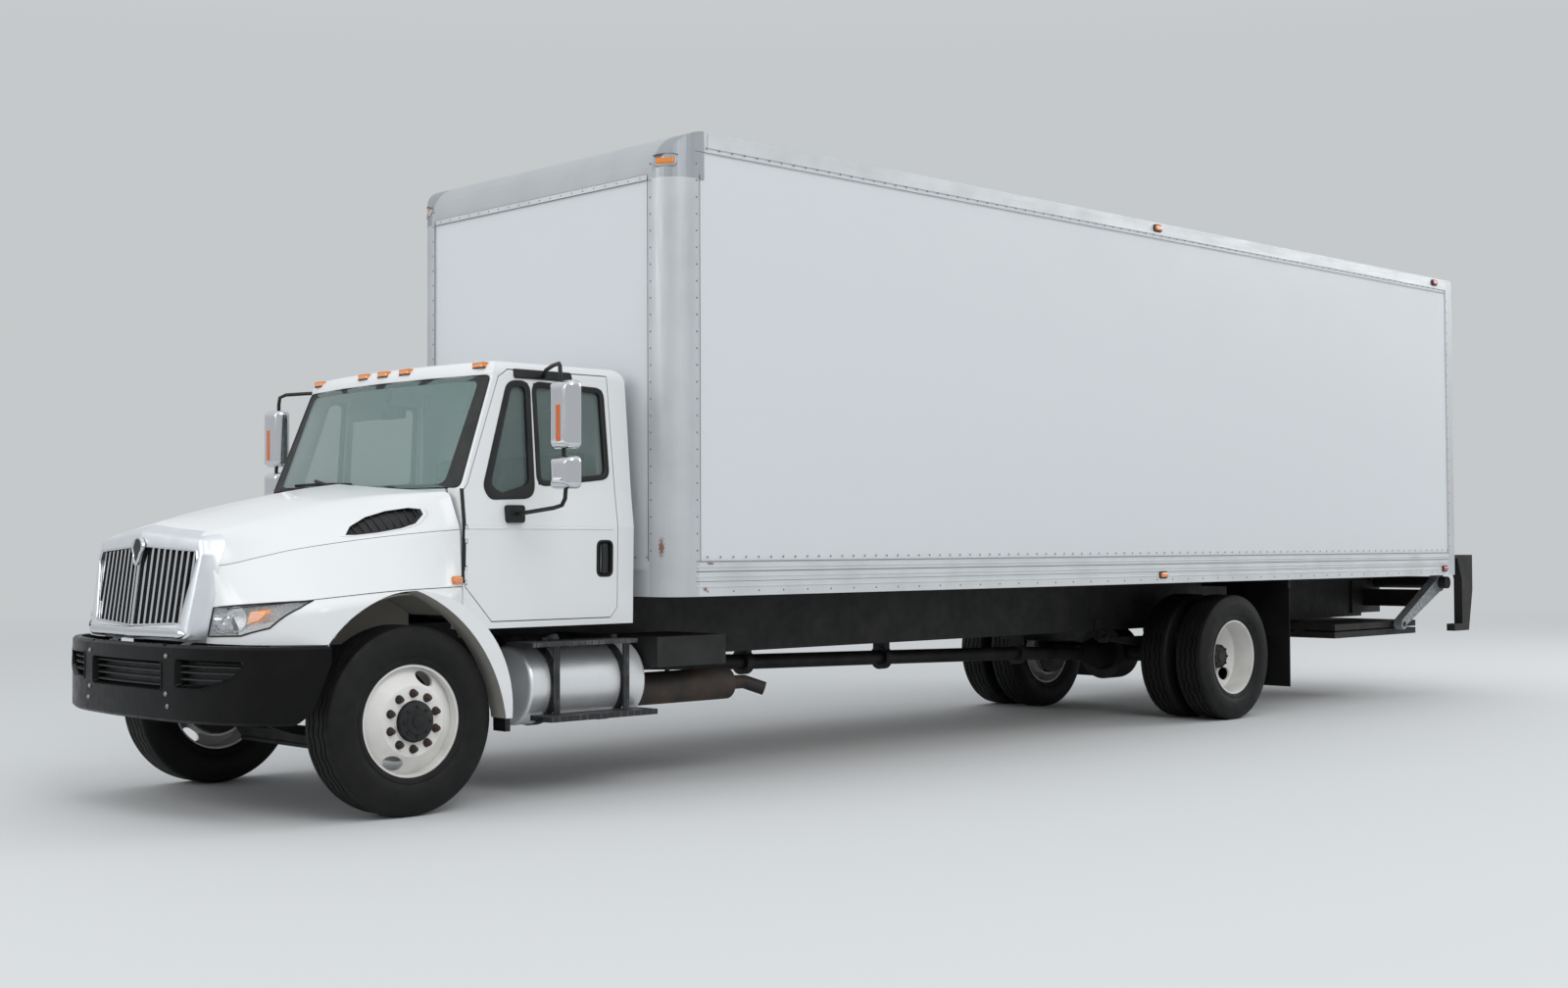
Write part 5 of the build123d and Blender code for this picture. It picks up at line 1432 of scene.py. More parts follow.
    def _mirrors(self) -> None:
        """Replace the mirrors by rounded plated heads with glass, arms and feet."""
        fx, made = AT.front_x, self.made
        arms = (("upper", ((-0.975, 0.962, 2.338), (-0.955, 0.99, 2.356), (-0.915, 1.06, 2.364),
            (-0.8, 1.27, 2.366), (-0.725, 1.42, 2.362), (-0.703, 1.458, 2.345), (-0.7, 1.465, 2.3),
            (-0.7, 1.465, 2.22))), ("lower", ((-0.7, 1.49, 1.92), (-0.7, 1.5, 1.8),
            (-0.7, 1.512, 1.7), (-0.7, 1.505, 1.64), (-0.702, 1.475, 1.605), (-0.706, 1.4, 1.592),
            (-0.716, 1.15, 1.572), (-0.72, 1.035, 1.565))))
        for name, side in SIDES:
            body = f"door_{name}"
            shells, glass, rims, lamp, feet = (Shape() for _ in range(5))
            y_mid = side * sum(self.head_y) / 2
            y_half = (self.head_y[1] - self.head_y[0]) / 2
            for low, high in self.heads:
                z_mid = (low + high) / 2
                outline = about(0.0, 0.0, y_half, (high - low) / 2)
                *shell, rim, inner = ([(fx + x, y_mid + a, z_mid + b)
                    for a, b in rounded(outline, 0.036, grow)] for x, grow in ((-0.749, -0.014),
                    (-0.738, -0.003), (-0.72, 0.0), (-0.685, -0.003), (-0.662, -0.018),
                    (-0.653, -0.04), (-0.6505, -0.062), (-0.7485, -0.014), (-0.744, -0.018)))
                shells.pad(shell)
                rims.grid([rim, inner])
                glass.cap(inner)
            lamp.pad([[(fx + x, side * 1.508 + a, b) for a, b in rounded(rect(-0.019, 1.942, 0.019,
                2.138), 0.008, grow)] for x, grow in ((-0.655, 0.003), (-0.6495, 0.0),
                (-0.647, -0.004))])
            feet.pad([[(fx + x, side * (0.9505 + lift - (z - 2.33) * 0.3), z)
                for x, z in rounded(rect(-1.178, 2.318, -0.772, 2.372), 0.016, grow)]
                for lift, grow in ((-0.012, 0.0), (0.004, 0.0), (0.012, -0.006))])
            feet.pad([[(fx + x, side * out, z) for x, z in rounded(rect(-0.779, 1.516, -0.661,
                1.614), 0.02, grow)] for out, grow in ((1.012, 0.0), (1.05, 0.0), (1.06, -0.008))])
            parts = [builder.make(f"mirror_{label}_{name}", material, angle, body)
                for label, builder, material, angle in (("shell", shells, made.chrome, 40),
                ("rim", rims, made.gasket, 40), ("glass", glass, made.chrome, 20),
                ("lamp", lamp, made.signal, 40), ("feet", feet, made.gasket, 40))]
            parts += [tube(f"mirror_arm_{label}_{name}", [(fx + x, side * y, z)
                for x, y, z in path], 0.0115, made.gasket, body) for label, path in arms]
            for part in parts:
                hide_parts(f"mirror_{name}")

    def _roof_lamps(self) -> None:
        """Add a rounded base and lens over each clearance lamp of the roof."""
        bases, lenses = Shape(), Shape()
        for x, y in ((-0.56, 0.0), (-0.566, 0.217), (-0.566, -0.217), (-0.641, 0.833),
                (-0.641, -0.833)):
            for builder, table in ((bases, ((2.368, 0.005), (2.375, 0.004), (2.3765, 0.0))),
                    (lenses, ((2.376, 0.002), (2.39, 0.001), (2.398, -0.003), (2.403, -0.009),
                    (2.405, -0.017)))):
                builder.pad([[(AT.front_x + a, b, z) for a, b in rounded(about(x, y, 0.026, 0.05),
                    0.014, grow, 4)] for z, grow in table])
        bases.make("roof_lamp_bases", self.made.gasket, 40)
        lenses.make("roof_lamp_lenses", self.made.amber, 50)

    def _inside(self) -> None:
        """Add the inner mirror and the sun visors seen through the windshield."""
        fx = AT.front_x
        visors, mirror = Shape(), Shape()
        for y in (-0.42, 0.42):
            visors.stack([[(fx - 0.72 + depth - 0.3 * b, a, 2.235 + b)
                for a, b in rounded(about(y, 0.0, 0.2, 0.09), 0.03)] for depth in (-0.01, 0.01)])
        visors.make("sun_visors", self.made.lining, 40)
        mirror.stack([[(fx - 0.62 + depth, a, b) for a, b in rounded(rect(-0.12, 2.13, 0.12, 2.19),
            0.02, grow)] for depth, grow in ((0.0, 0.0), (0.018, -0.003), (0.024, -0.012))])
        mirror.make("inner_mirror", self.made.gasket, 40)
        tube("inner_mirror_stem", [(fx - 0.6, 0.0, 2.17), (fx - 0.57, 0.0, 2.24),
            (fx - 0.565, 0.0, 2.3)], 0.007, self.made.gasket)


@dataclass(frozen=True)
class Front:
    """Grille, headlamps and bumper fittings, set in a hood."""

    made: Materials
    hood: Hood
    mouth: Flats = rect(-0.39, 0.67, 0.39, 0.815)
    fog: Flats = ((0.52, 0.688), (0.72, 0.69), (0.89, 0.738), (0.962, 0.8), (0.955, 0.826),
        (0.52, 0.83))
    middle_z: float = 1.15

    def skin_x(self, y: float, z: float) -> float:
        """Find how far ahead the hood's skin is.

        Args:
            y: place across, from nought up.
            z: height.

        Returns:
            Distance ahead of the front axle.
        """
        low, high = 0.3, 0.85
        for _ in range(24):
            middle = (low + high) / 2
            half = self.hood.half(middle)
            width = half[-1][0]
            for (y1, z1), (y2, z2) in zip(half, half[1:]):
                if z2 <= z <= z1:
                    width = y1 + (y2 - y1) * (z1 - z) / max(z1 - z2, 1e-6)
                    break
            low, high = (middle, high) if width > y else (low, middle)
        return (low + high) / 2

    def bumper_x(self, y: float) -> float:
        """Give how far ahead the bumper's skin is.

        Args:
            y: place across.

        Returns:
            Distance ahead of the front axle.
        """
        y = abs(y)
        if y <= 0.5:
            return -4.2003 + sqrt(5.2203 ** 2 - y * y)
        if y <= 0.94:
            return -0.326 + sqrt(1.328 ** 2 - (y - 0.373) ** 2)
        return 0.496 + sqrt(max(0.419 ** 2 - (y - 0.761) ** 2, 0.0))

    def prow(self, y: float, z: float, inset: float = 0.0) -> float:
        """Give how far ahead the grille's leaning face is.

        Args:
            y: place across.
            z: height.
            inset: distance behind the face.

        Returns:
            Distance ahead of the front axle.
        """
        corner_x, corner_y, middle = between((0.955, 0.562, 0.99), (0.862, 0.645, 0.922),
            (z - 0.922) / (1.478 - 0.922))
        return middle + (corner_x - middle) * abs(y) / corner_y - inset

    def dress(self) -> None:
        """Add every piece of the front."""
        self._surround()
        self._grille()
        self._shield()
        self._headlamps()
        self._bumper()

    def _surround(self) -> None:
        """Replace the grille's surround by a rounded satin frame that runs into the hood."""
        fx = AT.front_x
        inner = list(self.hood.opening) + [(-y, z) for y, z in self.hood.opening[-2:0:-1]]
        outer = [(0.0, 0.924), (0.545, 0.928), (0.59, 1.355), (0.56, 1.43), (0.0, 1.474)]
        outer += [(-y, z) for y, z in outer[-2:0:-1]]
        rows = [[(fx + self.prow(y, z, inset), y, z) for y, z in dense(rounded(corners, radius,
            grow), 4)] for corners, radius, grow, inset in ((inner, 0.012, -0.001, 0.03),
            (inner, 0.012, -0.001, 0.004), (inner, 0.012, 0.003, -0.001),
            (inner, 0.012, 0.012, -0.003), (outer, 0.03, -0.012, -0.002),
            (outer, 0.03, -0.003, 0.001), (outer, 0.03, 0.004, 0.008), (outer, 0.03, 0.008, 0.02))]
        loop = dense(rounded(outer, 0.03, 0.012), 4)
        seam = ((0.9, 0.849), (1.1, 0.849), (1.3, 0.825), (1.42, 0.77), (1.6, 0.77))
        for ahead, out in ((0.0, 0.003), (0.5, 0.0035), (1.0, 0.003), (1.04, -0.006)):
            row = []
            for y, z in loop:
                x = 0.848 + (eased(seam, z) - 0.848) * min(1.0, abs(y) / 0.58) ** 2
                x = 0.849 + (x - 0.849) * ahead
                y, z = self._on_section(x, y, z, out)
                # The lamp openings end the frame's lower corners
                tip = 0.576 + 0.384 * (z - 0.94) + max(0.0, z - 1.086) * 1.2
                if z < 1.2 and abs(y) > tip:
                    x, y = 0.853 - 0.01 * (ahead > 1), copysign(tip, y)
                row.append((fx + x, y, z))
            rows.append(row)
        builder = Shape()
        builder.grid(rows)
        made = builder.make("grille_frame", self.made.surround, 40, "hood")
        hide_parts("grille_surround")

    def _on_section(self, x: float, y: float, z: float, out: float) -> Flat:
        """Push a point straight away from the nose's middle on to the hood's skin.

        Args:
            x: distance ahead of the front axle.
            y: place across.
            z: height.
            out: how far it stands off the skin.

        Returns:
            (y, z) on the skin.
        """
        half = self.hood.half(x)
        section = [(-a, b) for a, b in reversed(half)] + half[1:]
        down = z - self.middle_z
        for (y1, z1), (y2, z2) in zip(section, section[1:]):
            cross = y * (z2 - z1) - down * (y2 - y1)
            if abs(cross) < 1e-9:
                continue
            reach = (y1 * (z2 - z1) - (z1 - self.middle_z) * (y2 - y1)) / cross
            along = (y1 * down - (z1 - self.middle_z) * y) / cross
            if reach > 0.5 and -1e-6 <= along <= 1.000001:
                reach += out / hypot(y, down)
                return (y * reach, self.middle_z + down * reach)
        return (y, z)

    def _grille(self) -> None:
        """Add the bright lower lip, the edge of the opening and the centre bar."""
        fx, chrome = AT.front_x, self.made.chrome
        lip = Shape()
        rings = []
        for y in (-0.545 + 1.09 * k / 40 for k in range(41)):
            fade = min(1.0, (0.545 - abs(y)) / 0.05 + 0.15)
            rings.append([(fx + self.prow(y, 0.955) + 0.004 + 0.02 * fade * cos(a), y,
                0.953 + 0.027 * fade * sin(a)) for a in (pi * (-0.5 + j / 8) for j in range(9))])
        lip.stack(rings)
        lip.make("grille_lip", chrome, 50, "hood")
        right = self.hood.opening[1:]
        corners = [*right, *((-y, z) for y, z in right[-2::-1]), self.hood.opening[0]]
        tube("grille_edge", [(fx + self.prow(y, z) - 0.001, y, z) for y, z in dense(corners, 8)],
            0.007, chrome, "hood", closed=True)
        tube("grille_centre_bar", [(fx + self.prow(0.0, z) - 0.008, 0.0, z)
            for z in (0.985, 1.1, 1.2, 1.3, 1.398)], 0.01, chrome, "hood")

    def _shield(self) -> None:
        """Add the blank shield at the top of the grille."""
        outline = []
        for up, across in circle(36):
            y, z = 0.06 * across, 0.054 * up
            if up < -0.35:
                y, z = y * 0.78, -0.019 - (abs(up) - 0.35) * 0.12
            outline.append((y, z))
        for name, material, angle, table in (("grille_shield", self.made.chrome, 40,
                ((0.0, 1.0), (0.012, 1.0), (0.018, 0.93), (0.018, 0.8), (0.013, 0.76))),
                ("grille_shield_face", self.made.moulding, 60, ((0.0135, 0.77), (0.017, 0.5)))):
            builder = Shape()
            builder.pad([[(AT.front_x + self.prow(0.0, 1.392 + z * scale) + 0.002 + out, y * scale,
                1.392 + z * scale) for y, z in outline] for out, scale in table])
            builder.make(name, material, angle, "hood")

    def _headlamps(self) -> None:
        """Add the reflector bowls, the amber signal and the dark edge of both headlamps."""
        fx = AT.front_x
        outline = ((0.872, 0.998), (0.935, 1.022), (0.965, 1.062), (0.95, 1.082), (0.872, 1.072))
        for name, side in SIDES:
            tube(f"headlamp_edge_{name}", [(fx + self.skin_x(y, z) + 0.0005, side * y, z)
                for y, z in dense(self.hood.lamp, 8)], 0.0045, self.made.gasket, "hood",
                closed=True)
            bowls, signal = Shape(), Shape()
            way = Vector((0.93, 0.36 * side, 0.0)).normalized()
            across = Vector((-way.y, way.x, 0.0))
            for y, z, radius in ((0.7, 1.02, 0.056), (0.8, 1.032, 0.06)):
                middle = Vector((fx + self.skin_x(y, z) - 0.012, side * y, z))
                bowls.pad([[tuple(middle + way * depth + across * c + Vector((0, 0, s)))
                    for c, s in circle(28, radius * r)] for depth, r in ((-0.004, 1.06),
                    (0.0, 1.06), (0.0, 1.0), (-0.028, 0.86), (-0.05, 0.58), (-0.062, 0.26),
                    (-0.05, 0.24), (-0.046, 0.16))])
            bowls.make(f"headlamp_bowls_{name}", self.made.chrome, 40, "hood")
            signal.pad([[(fx + self.skin_x(y, z) - inset, side * y, z)
                for y, z in rounded(outline, 0.014, grow, 4)] for inset, grow in ((0.03, 0.0),
                (0.014, 0.0), (0.009, -0.006))])
            signal.make(f"turn_signal_{name}", self.made.amber, 50, "hood")

    def _bumper(self) -> None:
        """Add the rolled edges, slatted inserts and bolts of the bumper."""
        fx = AT.front_x
        insert, slats, back, bolts = (Shape() for _ in range(4))
        for outline in (self.mouth, self.fog, tuple((-y, z) for y, z in reversed(self.fog))):
            insert.grid([[(min(fx + self.bumper_x(y) + depth, 6.2995), y, z)
                for y, z in dense(rounded(outline, 0.022, grow, 5), 3)]
                for depth, grow in ((-0.002, 0.01), (0.004, 0.007), (0.004, 0.001),
                (-0.008, -0.006), (-0.046, -0.012), (-0.06, -0.014))])
        insert.make("bumper_inserts", self.made.bumper, 40)
        for low, high in ((-0.385, 0.385), (0.525, 0.93), (-0.93, -0.525)):
            for z in (0.7, 0.735, 0.77, 0.802):
                rings = [[(fx + self.bumper_x(y) - 0.034 + dx, y, z + dz)
                    for dx, dz in ((-0.012, -0.007), (0.012, -0.009), (0.012, -0.003),
                    (-0.012, 0.002))] for y in (low + (high - low) * k / 12
                    for k in range(13)) if abs(y) <= 0.5 or z >= 0.688 + (abs(y) - 0.72) * 0.3
                    + 0.012]
                if len(rings) > 1:
                    slats.stack(rings)
        slats.make("bumper_slats", self.made.moulding, 30)
        for low_y, high_y, low, high in ((-0.385, 0.385, 0.655, 0.83), (0.525, 0.95, 0.68, 0.835),
                (-0.95, -0.525, 0.68, 0.835)):
            rows = []
            for y in (low_y + (high_y - low_y) * k / 12 for k in range(13)):
                x = fx + self.bumper_x(y) - 0.062
                rows.append([(x, y, low), (x, y, high), (x - 0.004, y, high), (x - 0.004, y, low)])
            back.stack(rows)
        back.make("bumper_back_panels", self.made.gasket, 30)
        for y, z in ((0.435, 0.842), (0.435, 0.652), (0.452, 0.59)):
            for _, side in SIDES:
                for table in (((0.0, 0.0135), (0.003, 0.013), (0.0035, 0.01)),
                        ((0.003, 0.0105), (0.006, 0.0098), (0.0085, 0.006), (0.009, 0.0005))):
                    bolts.stack([[(fx + self.bumper_x(y) + out, side * y + c, z + s)
                        for c, s in circle(12, r)] for out, r in table])
        bolts.make("bumper_bolts", self.made.zinc, 40)


@dataclass(frozen=True)
class Box:
    """Rivets, ribs, lamps and door fittings of the load box."""

    made: Materials
    post: Flat = (3.476, 1.1235)
    corner_radius: float = 0.174
    nose_radius: float = 0.25
    nose_low: float = 3.546
    lamp_z: float = 3.61
    lamp_half: Flat = (0.06, 0.0225)

    def stud(self, builder: Shape, spot: Point, way: Point, radius: float = 0.0065) -> None:
        """Add one domed rivet head.

        Args:
            builder: mesh to add to.
            spot: its middle on the surface.
            way: direction that it faces.
            radius: its radius.
        """
        way = Vector(way)
        across = way.orthogonal().normalized()
        up = way.cross(across)
        builder.stack([[tuple(Vector(spot) + way * height + (across * c + up * s) * radius * r)
            for c, s in circle(8)] for height, r in ((-0.0003, 1.0), (0.0014, 0.82),
            (0.0023, 0.3))])

    def dress(self) -> None:
        """Add every piece of the box."""
        self._rivets()
        self._flange_seams()
        self._cap_lamps()
        self._nose_flange()
        self._rails()
        self._lamps()
        self._rear()

    def _rivets(self) -> None:
        """Add the rivet rows on rails and posts."""
        rivets = Shape()
        ahead = (1, 0, 0)
        x_low, x_high = AT.body_rear + 0.13, AT.body_front - 0.27
        count = int((x_high - x_low) / 0.1016)
        for _, side in SIDES:
            y, way = side * AT.body_half, (0, side, 0)
            for k in range(count + 1):
                x = x_low + (x_high - x_low) * k / count
                for z in (3.7, 1.322, 1.122)[:3 if k % 2 else 2]:
                    self.stud(rivets, (x, y, z), way)
            for z in (1.36 + 0.0975 * k for k in range(24)):
                for x in (AT.body_front - 0.19, AT.body_rear + 0.1):
                    self.stud(rivets, (x, y, z), way)
                self.stud(rivets, (AT.body_front, side * (AT.body_half - 0.19), z), ahead)
        for k in range(22):
            self.stud(rivets, (AT.body_front, -1.07 + 0.1019 * k, 1.322), ahead)
        # The rivets' darker grey is painted shade round their heads
        rivets.make("box_rivets", self.made.rivet, 50)

    def _flange_seams(self) -> None:
        """Draw the dark edges of the front posts' flanges on the front and the sides."""
        for name, side in SIDES:
            for label, x, y in (("front", AT.body_front + 0.0004, self.post[1] - 0.04),
                    ("side", self.post[0] - 0.04, AT.body_half + 0.0004)):
                tube(f"post_seam_{label}_{name}", [(x, side * y, 1.3 + 0.28 * k)
                    for k in range(9)], 0.0016, self.made.gasket)

    def on_casting(self, side: float, along: float, z: float, out: float) -> Point:
        """Give a point over a corner casting's rounded face.

        Args:
            side: 1 for left, -1 for right.
            along: distance round the face from the lamp's middle.
            z: height.
            out: distance outwards.

        Returns:
            The point.
        """
        above = max(z - self.nose_low, 0.0)
        radius = self.corner_radius - self.nose_radius + sqrt(self.nose_radius ** 2 - above **
            2) + out
        turn = radians(30) + along / self.corner_radius
        return (self.post[0] + radius * cos(turn), side * (self.post[1] + radius * sin(turn)),
            z + out * 0.2)

    def _cap_lamps(self) -> None:
        """Add the clearance lamp in its raised frame on each front corner casting."""
        outline = about(0.0, self.lamp_z, *self.lamp_half)
        frames, lenses = Shape(), Shape()
        for _, side in SIDES:
            for builder, table in ((frames, ((-0.004, 0.014), (0.008, 0.012), (0.013, 0.006),
                    (0.013, -0.001), (0.006, -0.002))), (lenses, ((0.004, -0.001), (0.012, -0.002),
                    (0.016, -0.006), (0.018, -0.012)))):
                builder.pad([[self.on_casting(side, a, b, out) for a, b in rounded(outline, 0.012,
                    grow, 5)] for out, grow in table])
            brow = []
            for t in ((k - 6) / 6 for k in range(13)):
                z = self.lamp_z + self.lamp_half[1] + 0.015 - 0.01 * t ** 4
                brow.append([self.on_casting(side, 0.078 * t, z + lift, out)
                    for out, lift in ((-0.004, 0.003), (0.026, 0.003), (0.027, -0.001),
                    (-0.004, -0.003))])
            frames.stack(brow)
        frames.make("cap_lamp_frames", self.made.casting, 40)
        lenses.make("cap_lamp_lenses", self.made.amber, 50)

    def _nose_flange(self) -> None:
        """Add the riveted flange below the rolled nose, with dark lines along it; the lines and
        rivets take the darker grey of painted shade.
        """
        strip, line = Shape(), Shape()
        reach = self.post[1] - 0.046
        low, high = self.nose_low - 0.034, self.nose_low - 0.002
        x = AT.body_front
        strip.stack([[(x - 0.002, y, low), (x + 0.0016, y, low + 0.001),
            (x + 0.0016, y, high - 0.001), (x - 0.002, y, high)] for y in (-reach, reach)])
        for z in (low - 0.0008, high + 0.0004):
            line.stack([[(a, y, b) for a, b in rect(x - 0.002, z - 0.0016, x + 0.0012, z + 0.0016)]
                for y in (-reach, reach)])
        for k in range(20):
            self.stud(line, (x + 0.0016, -reach + 0.06 + (2 * reach - 0.12) * k / 19,
                (low + high) / 2), (1, 0, 0), 0.0055)
        strip.make("nose_flange", self.made.rails, 30)
        line.make("nose_flange_rivets", self.made.rivet, 30)

    def _rails(self) -> None:
        """Add the ribs along the lower side rails and the shadow lines of all rails."""
        for name, material, lines, lift, out, edge in (("rail_ribs", self.made.rails,
                ((1.15, 0.006), (1.209, 0.006), (1.265, 0.006)), 0.0035, 0.001, 0.5),
                ("rail_shadow_lines", self.made.rivet, ((1.297, 0.0022), (1.238, 0.003),
                (1.18, 0.0016), (3.675, 0.002)), 0.0005, 0.0015, 1.0)):
            builder = Shape()
            for _, side in SIDES:
                foot, top = side * (AT.body_half - out), side * (AT.body_half + lift)
                for z, half in lines:
                    builder.stack([[(x, foot, z - half), (x, top, z - half * edge),
                        (x, top, z + half * edge), (x, foot, z + half)]
                        for x in (AT.body_rear + 0.12, AT.body_front - 0.18)])
            builder.make(name, material, 30)

    def _lamps(self) -> None:
        """Add rounded lenses in dark rims over the side lamps."""
        for label, material, spots in (("amber", self.made.amber,
                ((-1.167, 3.753), (-1.2, 1.157))), ("red", self.made.red,
                ((-5.52, 3.753), (-5.656, 1.154)))):
            lenses, rims = Shape(), Shape()
            for _, side in SIDES:
                for outline in (about(*spot, 0.042, 0.017) for spot in spots):
                    for builder, table in ((rims, ((-0.002, 0.01), (0.007, 0.01), (0.009, 0.006),
                            (0.009, -0.001))), (lenses, ((0.004, 0.0), (0.015, 0.0),
                            (0.019, -0.003), (0.021, -0.009)))):
                        builder.pad([[(a, side * (AT.body_half + out), b)
                            for a, b in rounded(outline, 0.012, grow, 4)] for out, grow in table])
            lenses.make(f"side_{label}_lenses", material, 50)
            rims.make(f"side_{label}_rims", self.made.gasket, 50)

    def _rear(self) -> None:
        """Add the seams, hinges and latch of the rolling door."""
        (face, left, foot), (_, right, head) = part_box("rear_door")
        seams, metal = Shape(), Shape()
        for z in (foot + (head - foot) * k / 7 for k in range(1, 7)):
            seams.stack([[(a, y, b) for a, b in rect(face - 0.002, z - 0.003, face + 0.001,
                z + 0.003)] for y in (left + 0.01, right - 0.01)])
            for y in (left + 0.08 + (right - left - 0.16) * j / 4 for j in range(5)):
                metal.pad([[(face - out, a, b) for a, b in rounded(about(y, z, 0.022, 0.035),
                    0.008, grow, 3)] for out, grow in ((-0.001, 0.0), (0.004, 0.0),
                    (0.006, -0.003))])
        seams.make("rolling_door_seams", self.made.gasket, 30)
        metal.pad([[(face - out, a, b) for a, b in rounded(rect(-0.07, foot + 0.05, 0.07,
            foot + 0.17), 0.015, grow, 4)] for out, grow in ((-0.001, 0.0), (0.006, 0.0),
            (0.008, -0.004))])
        metal.make("rolling_door_hinges", self.made.zinc, 30)
        tube("rolling_door_latch", [(face - out, y, foot + up) for out, y, up in ((0.008, -0.05,
            0.11), (0.026, -0.03, 0.11), (0.026, 0.1, 0.105), (0.02, 0.17, 0.1))], 0.008,
            self.made.zinc)


@dataclass(frozen=True)
class Seats:
    """Driver's seat and passenger bench: padded cushions with piping on low bases."""

    made: Materials
    places: Flats = ((-0.43, 0.25), (0.38, 0.39))
    cushion: Flats = ((-0.885, 1.195), (-0.885, 1.3), (-1.275, 1.272), (-1.285, 1.195))
    back: Flats = ((-1.3, 1.265), (-1.378, 1.95), (-1.44, 1.95), (-1.425, 1.205))
    swell: float = 0.012
    pressure: float = 4.0
    cloth_steps: int = 20

    def pad(self, name: str, outline: Sequence[Flat], middle: float, half: float) -> None:
        """Make one cushion, swollen by pressure inside its cover.

        Args:
            name: name of the piece.
            outline: (x, z) of its side, from the front axle.
            middle: its middle across.
            half: half its width.
        """
        builder = Shape()
        builder.stack([[(AT.front_x + x, middle + half * share, z)
            for x, z in rounded(outline, 0.035, grow, 5)] for share, grow in ((-1.0, -0.022),
            (-0.96, -0.006), (-0.7, 0.0), (-0.35, 0.0), (0.0, 0.0), (0.35, 0.0), (0.7, 0.0),
            (0.96, -0.006), (1.0, -0.022))])
        cushion = raw(name, builder.verts, builder.faces)
        remesh = cushion.modifiers.new("even", "REMESH")
        remesh.mode = "VOXEL"
        remesh.voxel_size = 0.012
        settle(cushion)
        before = [v.co.copy() for v in cushion.data.vertices]
        cloth = cushion.modifiers.new("cover", "CLOTH")
        cloth.settings.use_pressure = True
        cloth.settings.uniform_pressure_force = self.pressure
        cloth.settings.effector_weights.gravity = 0.0
        scene = bpy.context.scene
        for step in range(1, self.cloth_steps + 1):
            scene.frame_set(step)
        settle(cushion)
        scene.frame_set(1)
        for vertex, start in zip(cushion.data.vertices, before):
            moved = vertex.co - start
            if moved.length > self.swell:
                vertex.co = start + moved.normalized() * self.swell
        finer = cushion.modifiers.new("finer", "SUBSURF")
        finer.levels = 1
        settle(cushion)
        for face in cushion.data.polygons:
            face.use_smooth = True
        place(cushion, self.made.cloth, "chassis")
        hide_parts("seats")

    def dress(self) -> None:
        """Add the cushions, backs, bases and piping."""
        fx = AT.front_x
        bases = Shape()
        for k, (middle, half) in enumerate(self.places):
            self.pad(f"seat_cushion_{k}", self.cushion, middle, half)
            self.pad(f"seat_back_{k}", self.back, middle, half)
            inset = half - 0.012
            for label, (x1, z1), (x2, z2) in (("cushion", (-0.88, 1.285), (-1.22, 1.262)),
                    ("back", (-1.318, 1.36), (-1.376, 1.915))):
                corners = [(fx + x1, middle - inset, z1), (fx + x2, middle - inset, z2),
                    (fx + x2, middle + inset, z2), (fx + x1, middle + inset, z1)]
                piping = tube(f"seat_piping_{label}_{k}", corners, 0.005, self.made.moulding,
                    closed=True)
                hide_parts("seats")
            foot = rect(fx - 1.352, middle - half + 0.07, fx - 0.948, middle + half - 0.07)
            bases.stack([[(x, y, z) for x, y in rounded(foot, 0.03, grow)]
                for z, grow in ((0.99, 0.012), (1.0, 0.012), (1.02, 0.0), (1.17, 0.0),
                (1.2, 0.004))])
        base = bases.make("seat_bases", self.made.moulding, 30)
        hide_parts("seats")


def finish_nodes(made: Materials) -> None:
    """Give every CAD node its material.

    Args:
        made: the set of materials.
    """
    for finish, names in {made.cab_paint: ("hood", "door_left", "door_right", "cab_sides",
            "cab_roof", "cab_end_walls"), made.wheel_paint: ("rim_front_left", "rim_front_right",
            "rims_rear_left", "rims_rear_right"), made.panel: ("wall_panels", "rear_door"),
            made.posts: ("corner_posts", "rear_frame"), made.rails: ("side_rails",),
            made.roof: ("roof_panel",), made.nose: ("nose_rail",), made.tank: ("fuel_tank",),
            made.casting: ("corner_caps",), made.chassis: ("frame_rails", "leaf_springs",
            "front_axle", "rear_axle", "knuckle_left", "knuckle_right", "tie_rod", "driveshaft",
            "engine", "battery_box", "body_sills", "body_crossmembers"),
            made.plate: ("steps_and_tank_straps",), made.weathered: ("liftgate_mount",
            "liftgate_platform"), made.zinc: ("liftgate_arms",), made.bumper: ("bumper",),
            made.exhaust: ("exhaust",), made.wood: ("body_floor",), made.glass: ("cab_glass",),
            made.side_glass: ("door_glass_left", "door_glass_right"),
            made.lens: ("headlamp_lenses",), made.chrome: ("mirror_left", "mirror_right",
            "grille_bars"), made.tray: ("headlamps",), made.surround: ("grille_surround",),
            made.moulding: ("grille_mesh", "dashboard", "steering_wheel", "cab_floor"),
            made.liner: ("wheel_liners",), made.cloth: ("seats",), made.amber: ("amber_lamps",),
            made.red: ("red_lamps",), made.tyre: ("mud_flaps", "tyre_front_left",
            "tyre_front_right", "tyres_rear_left", "tyres_rear_right")}.items():
        for name in names:
            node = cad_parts[name]
            node.data.materials.clear()
            node.data.materials.append(finish)
        LOG.info("finish %s on %d nodes", finish.name, len(names))


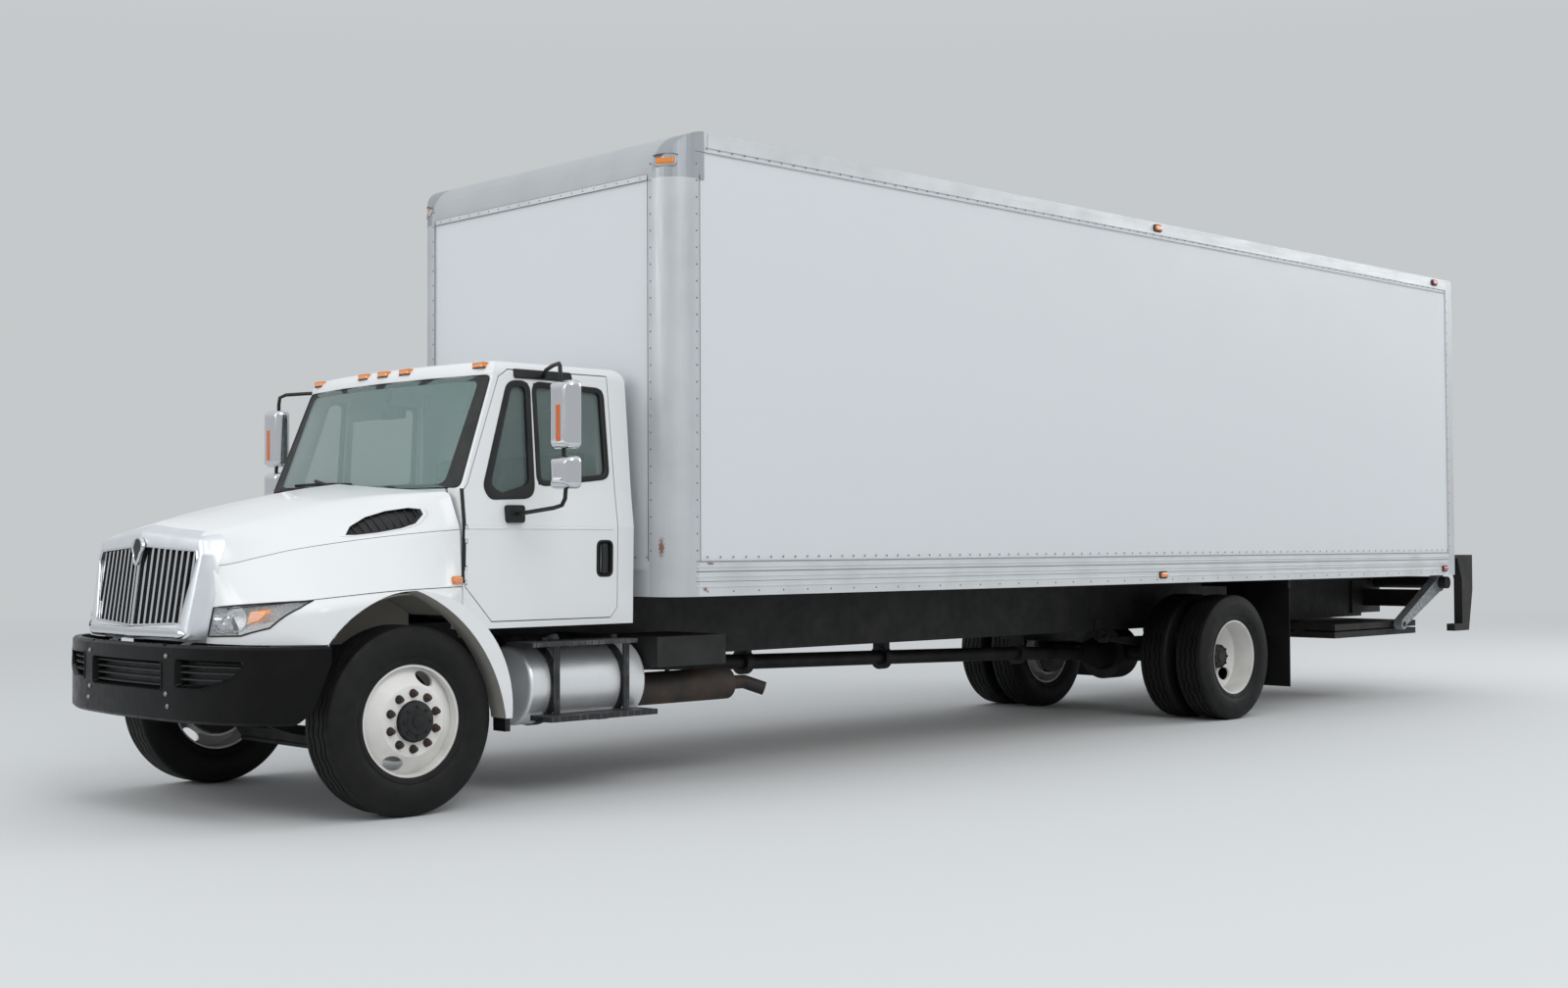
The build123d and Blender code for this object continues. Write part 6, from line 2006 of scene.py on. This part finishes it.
@dataclass(frozen=True)
class View:
    """The photograph's camera: its place, its three angles in degrees and its lens."""

    place: Point = (10.7698, 9.4834, 1.3886)
    heading: float = -134.3747
    pitch: float = 1.5452
    roll: float = -0.2234
    lens_mm: float = 43.6545
    sensor_mm: float = 36.0

    def build(self) -> None:
        """Make the camera and use it."""
        heading, pitch, roll = (radians(v) for v in (self.heading, self.pitch, self.roll))
        ahead = Vector((cos(pitch) * cos(heading), cos(pitch) * sin(heading), sin(pitch)))
        level = ahead.cross(Vector((0, 0, 1))).normalized()
        above = level.cross(ahead)
        right = level * cos(roll) + above * sin(roll)
        up = above * cos(roll) - level * sin(roll)
        data = bpy.data.cameras.new("photo_view")
        data.lens = self.lens_mm
        data.sensor_width = self.sensor_mm
        data.clip_end = 200.0
        camera = put("photo_view", data)
        turned = Matrix((right, up, -ahead)).transposed().to_4x4()
        camera.matrix_world = Matrix.Translation(self.place) @ turned
        bpy.context.scene.camera = camera


@dataclass(frozen=True)
class Studio:
    """Pale floor, pale surroundings and soft lamps."""

    floor_colour: str = "#C9CBCC"
    sky_colour: str = "#DDE0E2"
    sky_strength: float = 0.78
    top_strength: float = 1.35
    reach: float = 90.0
    fade: Flat = (9.0, 30.0)

    def floor(self) -> None:
        """Add the floor, which fades into the sky's colour."""
        graph = Graph("pale_floor")
        graph.set(Base_Color=self.floor_colour, Roughness=0.8)
        far = graph.add("VectorMath", (graph.spot,), "Value", operation="LENGTH")
        glow = graph.add("Emission", (self.sky_colour, self.sky_strength))
        blend = graph.add("MixShader", (graph.add("MapRange", (far, *self.fade, 0.0, 1.0)),
            graph.shader.outputs[0], glow))
        graph.feed(graph.tree.nodes["Material Output"], 0, blend)
        mesh = bpy.data.meshes.new("floor")
        mesh.from_pydata([(x, y, 0.0) for x, y in about(0.0, 0.0, self.reach, self.reach)], [],
            [(0, 1, 2, 3)])
        mesh.materials.append(graph.owner)
        put("floor", mesh)

    def sky(self) -> None:
        """Light the surroundings evenly, a little brighter overhead."""
        graph = Graph("soft_sky", world=True)
        rise = graph.add("SeparateXYZ", (graph.spot,), "Z")
        graph.set(Color=self.sky_colour, Strength=graph.add("MapRange",
            (rise, 0.25, 0.95, self.sky_strength, self.top_strength)))
        bpy.context.scene.world = graph.owner

    def lamp(self, name: str, spot: Point, target: Point, size: float, power: float) -> None:
        """Add a square soft lamp.

        Args:
            name: name of the lamp.
            spot: where it hangs.
            target: what it points at.
            size: side of the square.
            power: watts.
        """
        data = bpy.data.lights.new(name, "AREA")
        data.size = size
        data.energy = power
        way = Vector(target) - Vector(spot)
        turned = way.to_track_quat("-Z", "Y").to_matrix().to_4x4()
        put(name, data).matrix_world = Matrix.Translation(spot) @ turned

    def build(self) -> None:
        """Set up the whole studio."""
        self.floor()
        self.sky()
        self.lamp("key", (7.5, 15.0, 13.0), (1.0, 0.0, 1.4), 9.0, 1000.0)
        self.lamp("front", (16.0, -3.0, 7.0), (4.0, 0.0, 1.4), 7.0, 450.0)
        self.lamp("rear", (-15.0, 6.0, 9.0), (-4.0, 0.0, 1.6), 8.0, 700.0)
        bpy.context.scene.view_settings.view_transform = "Standard"


def main() -> None:
    """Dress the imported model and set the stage."""
    made = Materials()
    finish_nodes(made)
    Wheels(made).dress()
    hood = Hood(made)
    hood.dress()
    Cab(made).dress()
    Front(made, hood).dress()
    Box(made).dress()
    Seats(made).dress()
    Studio().build()
    View().build()


if __name__ == "__main__":
    main()
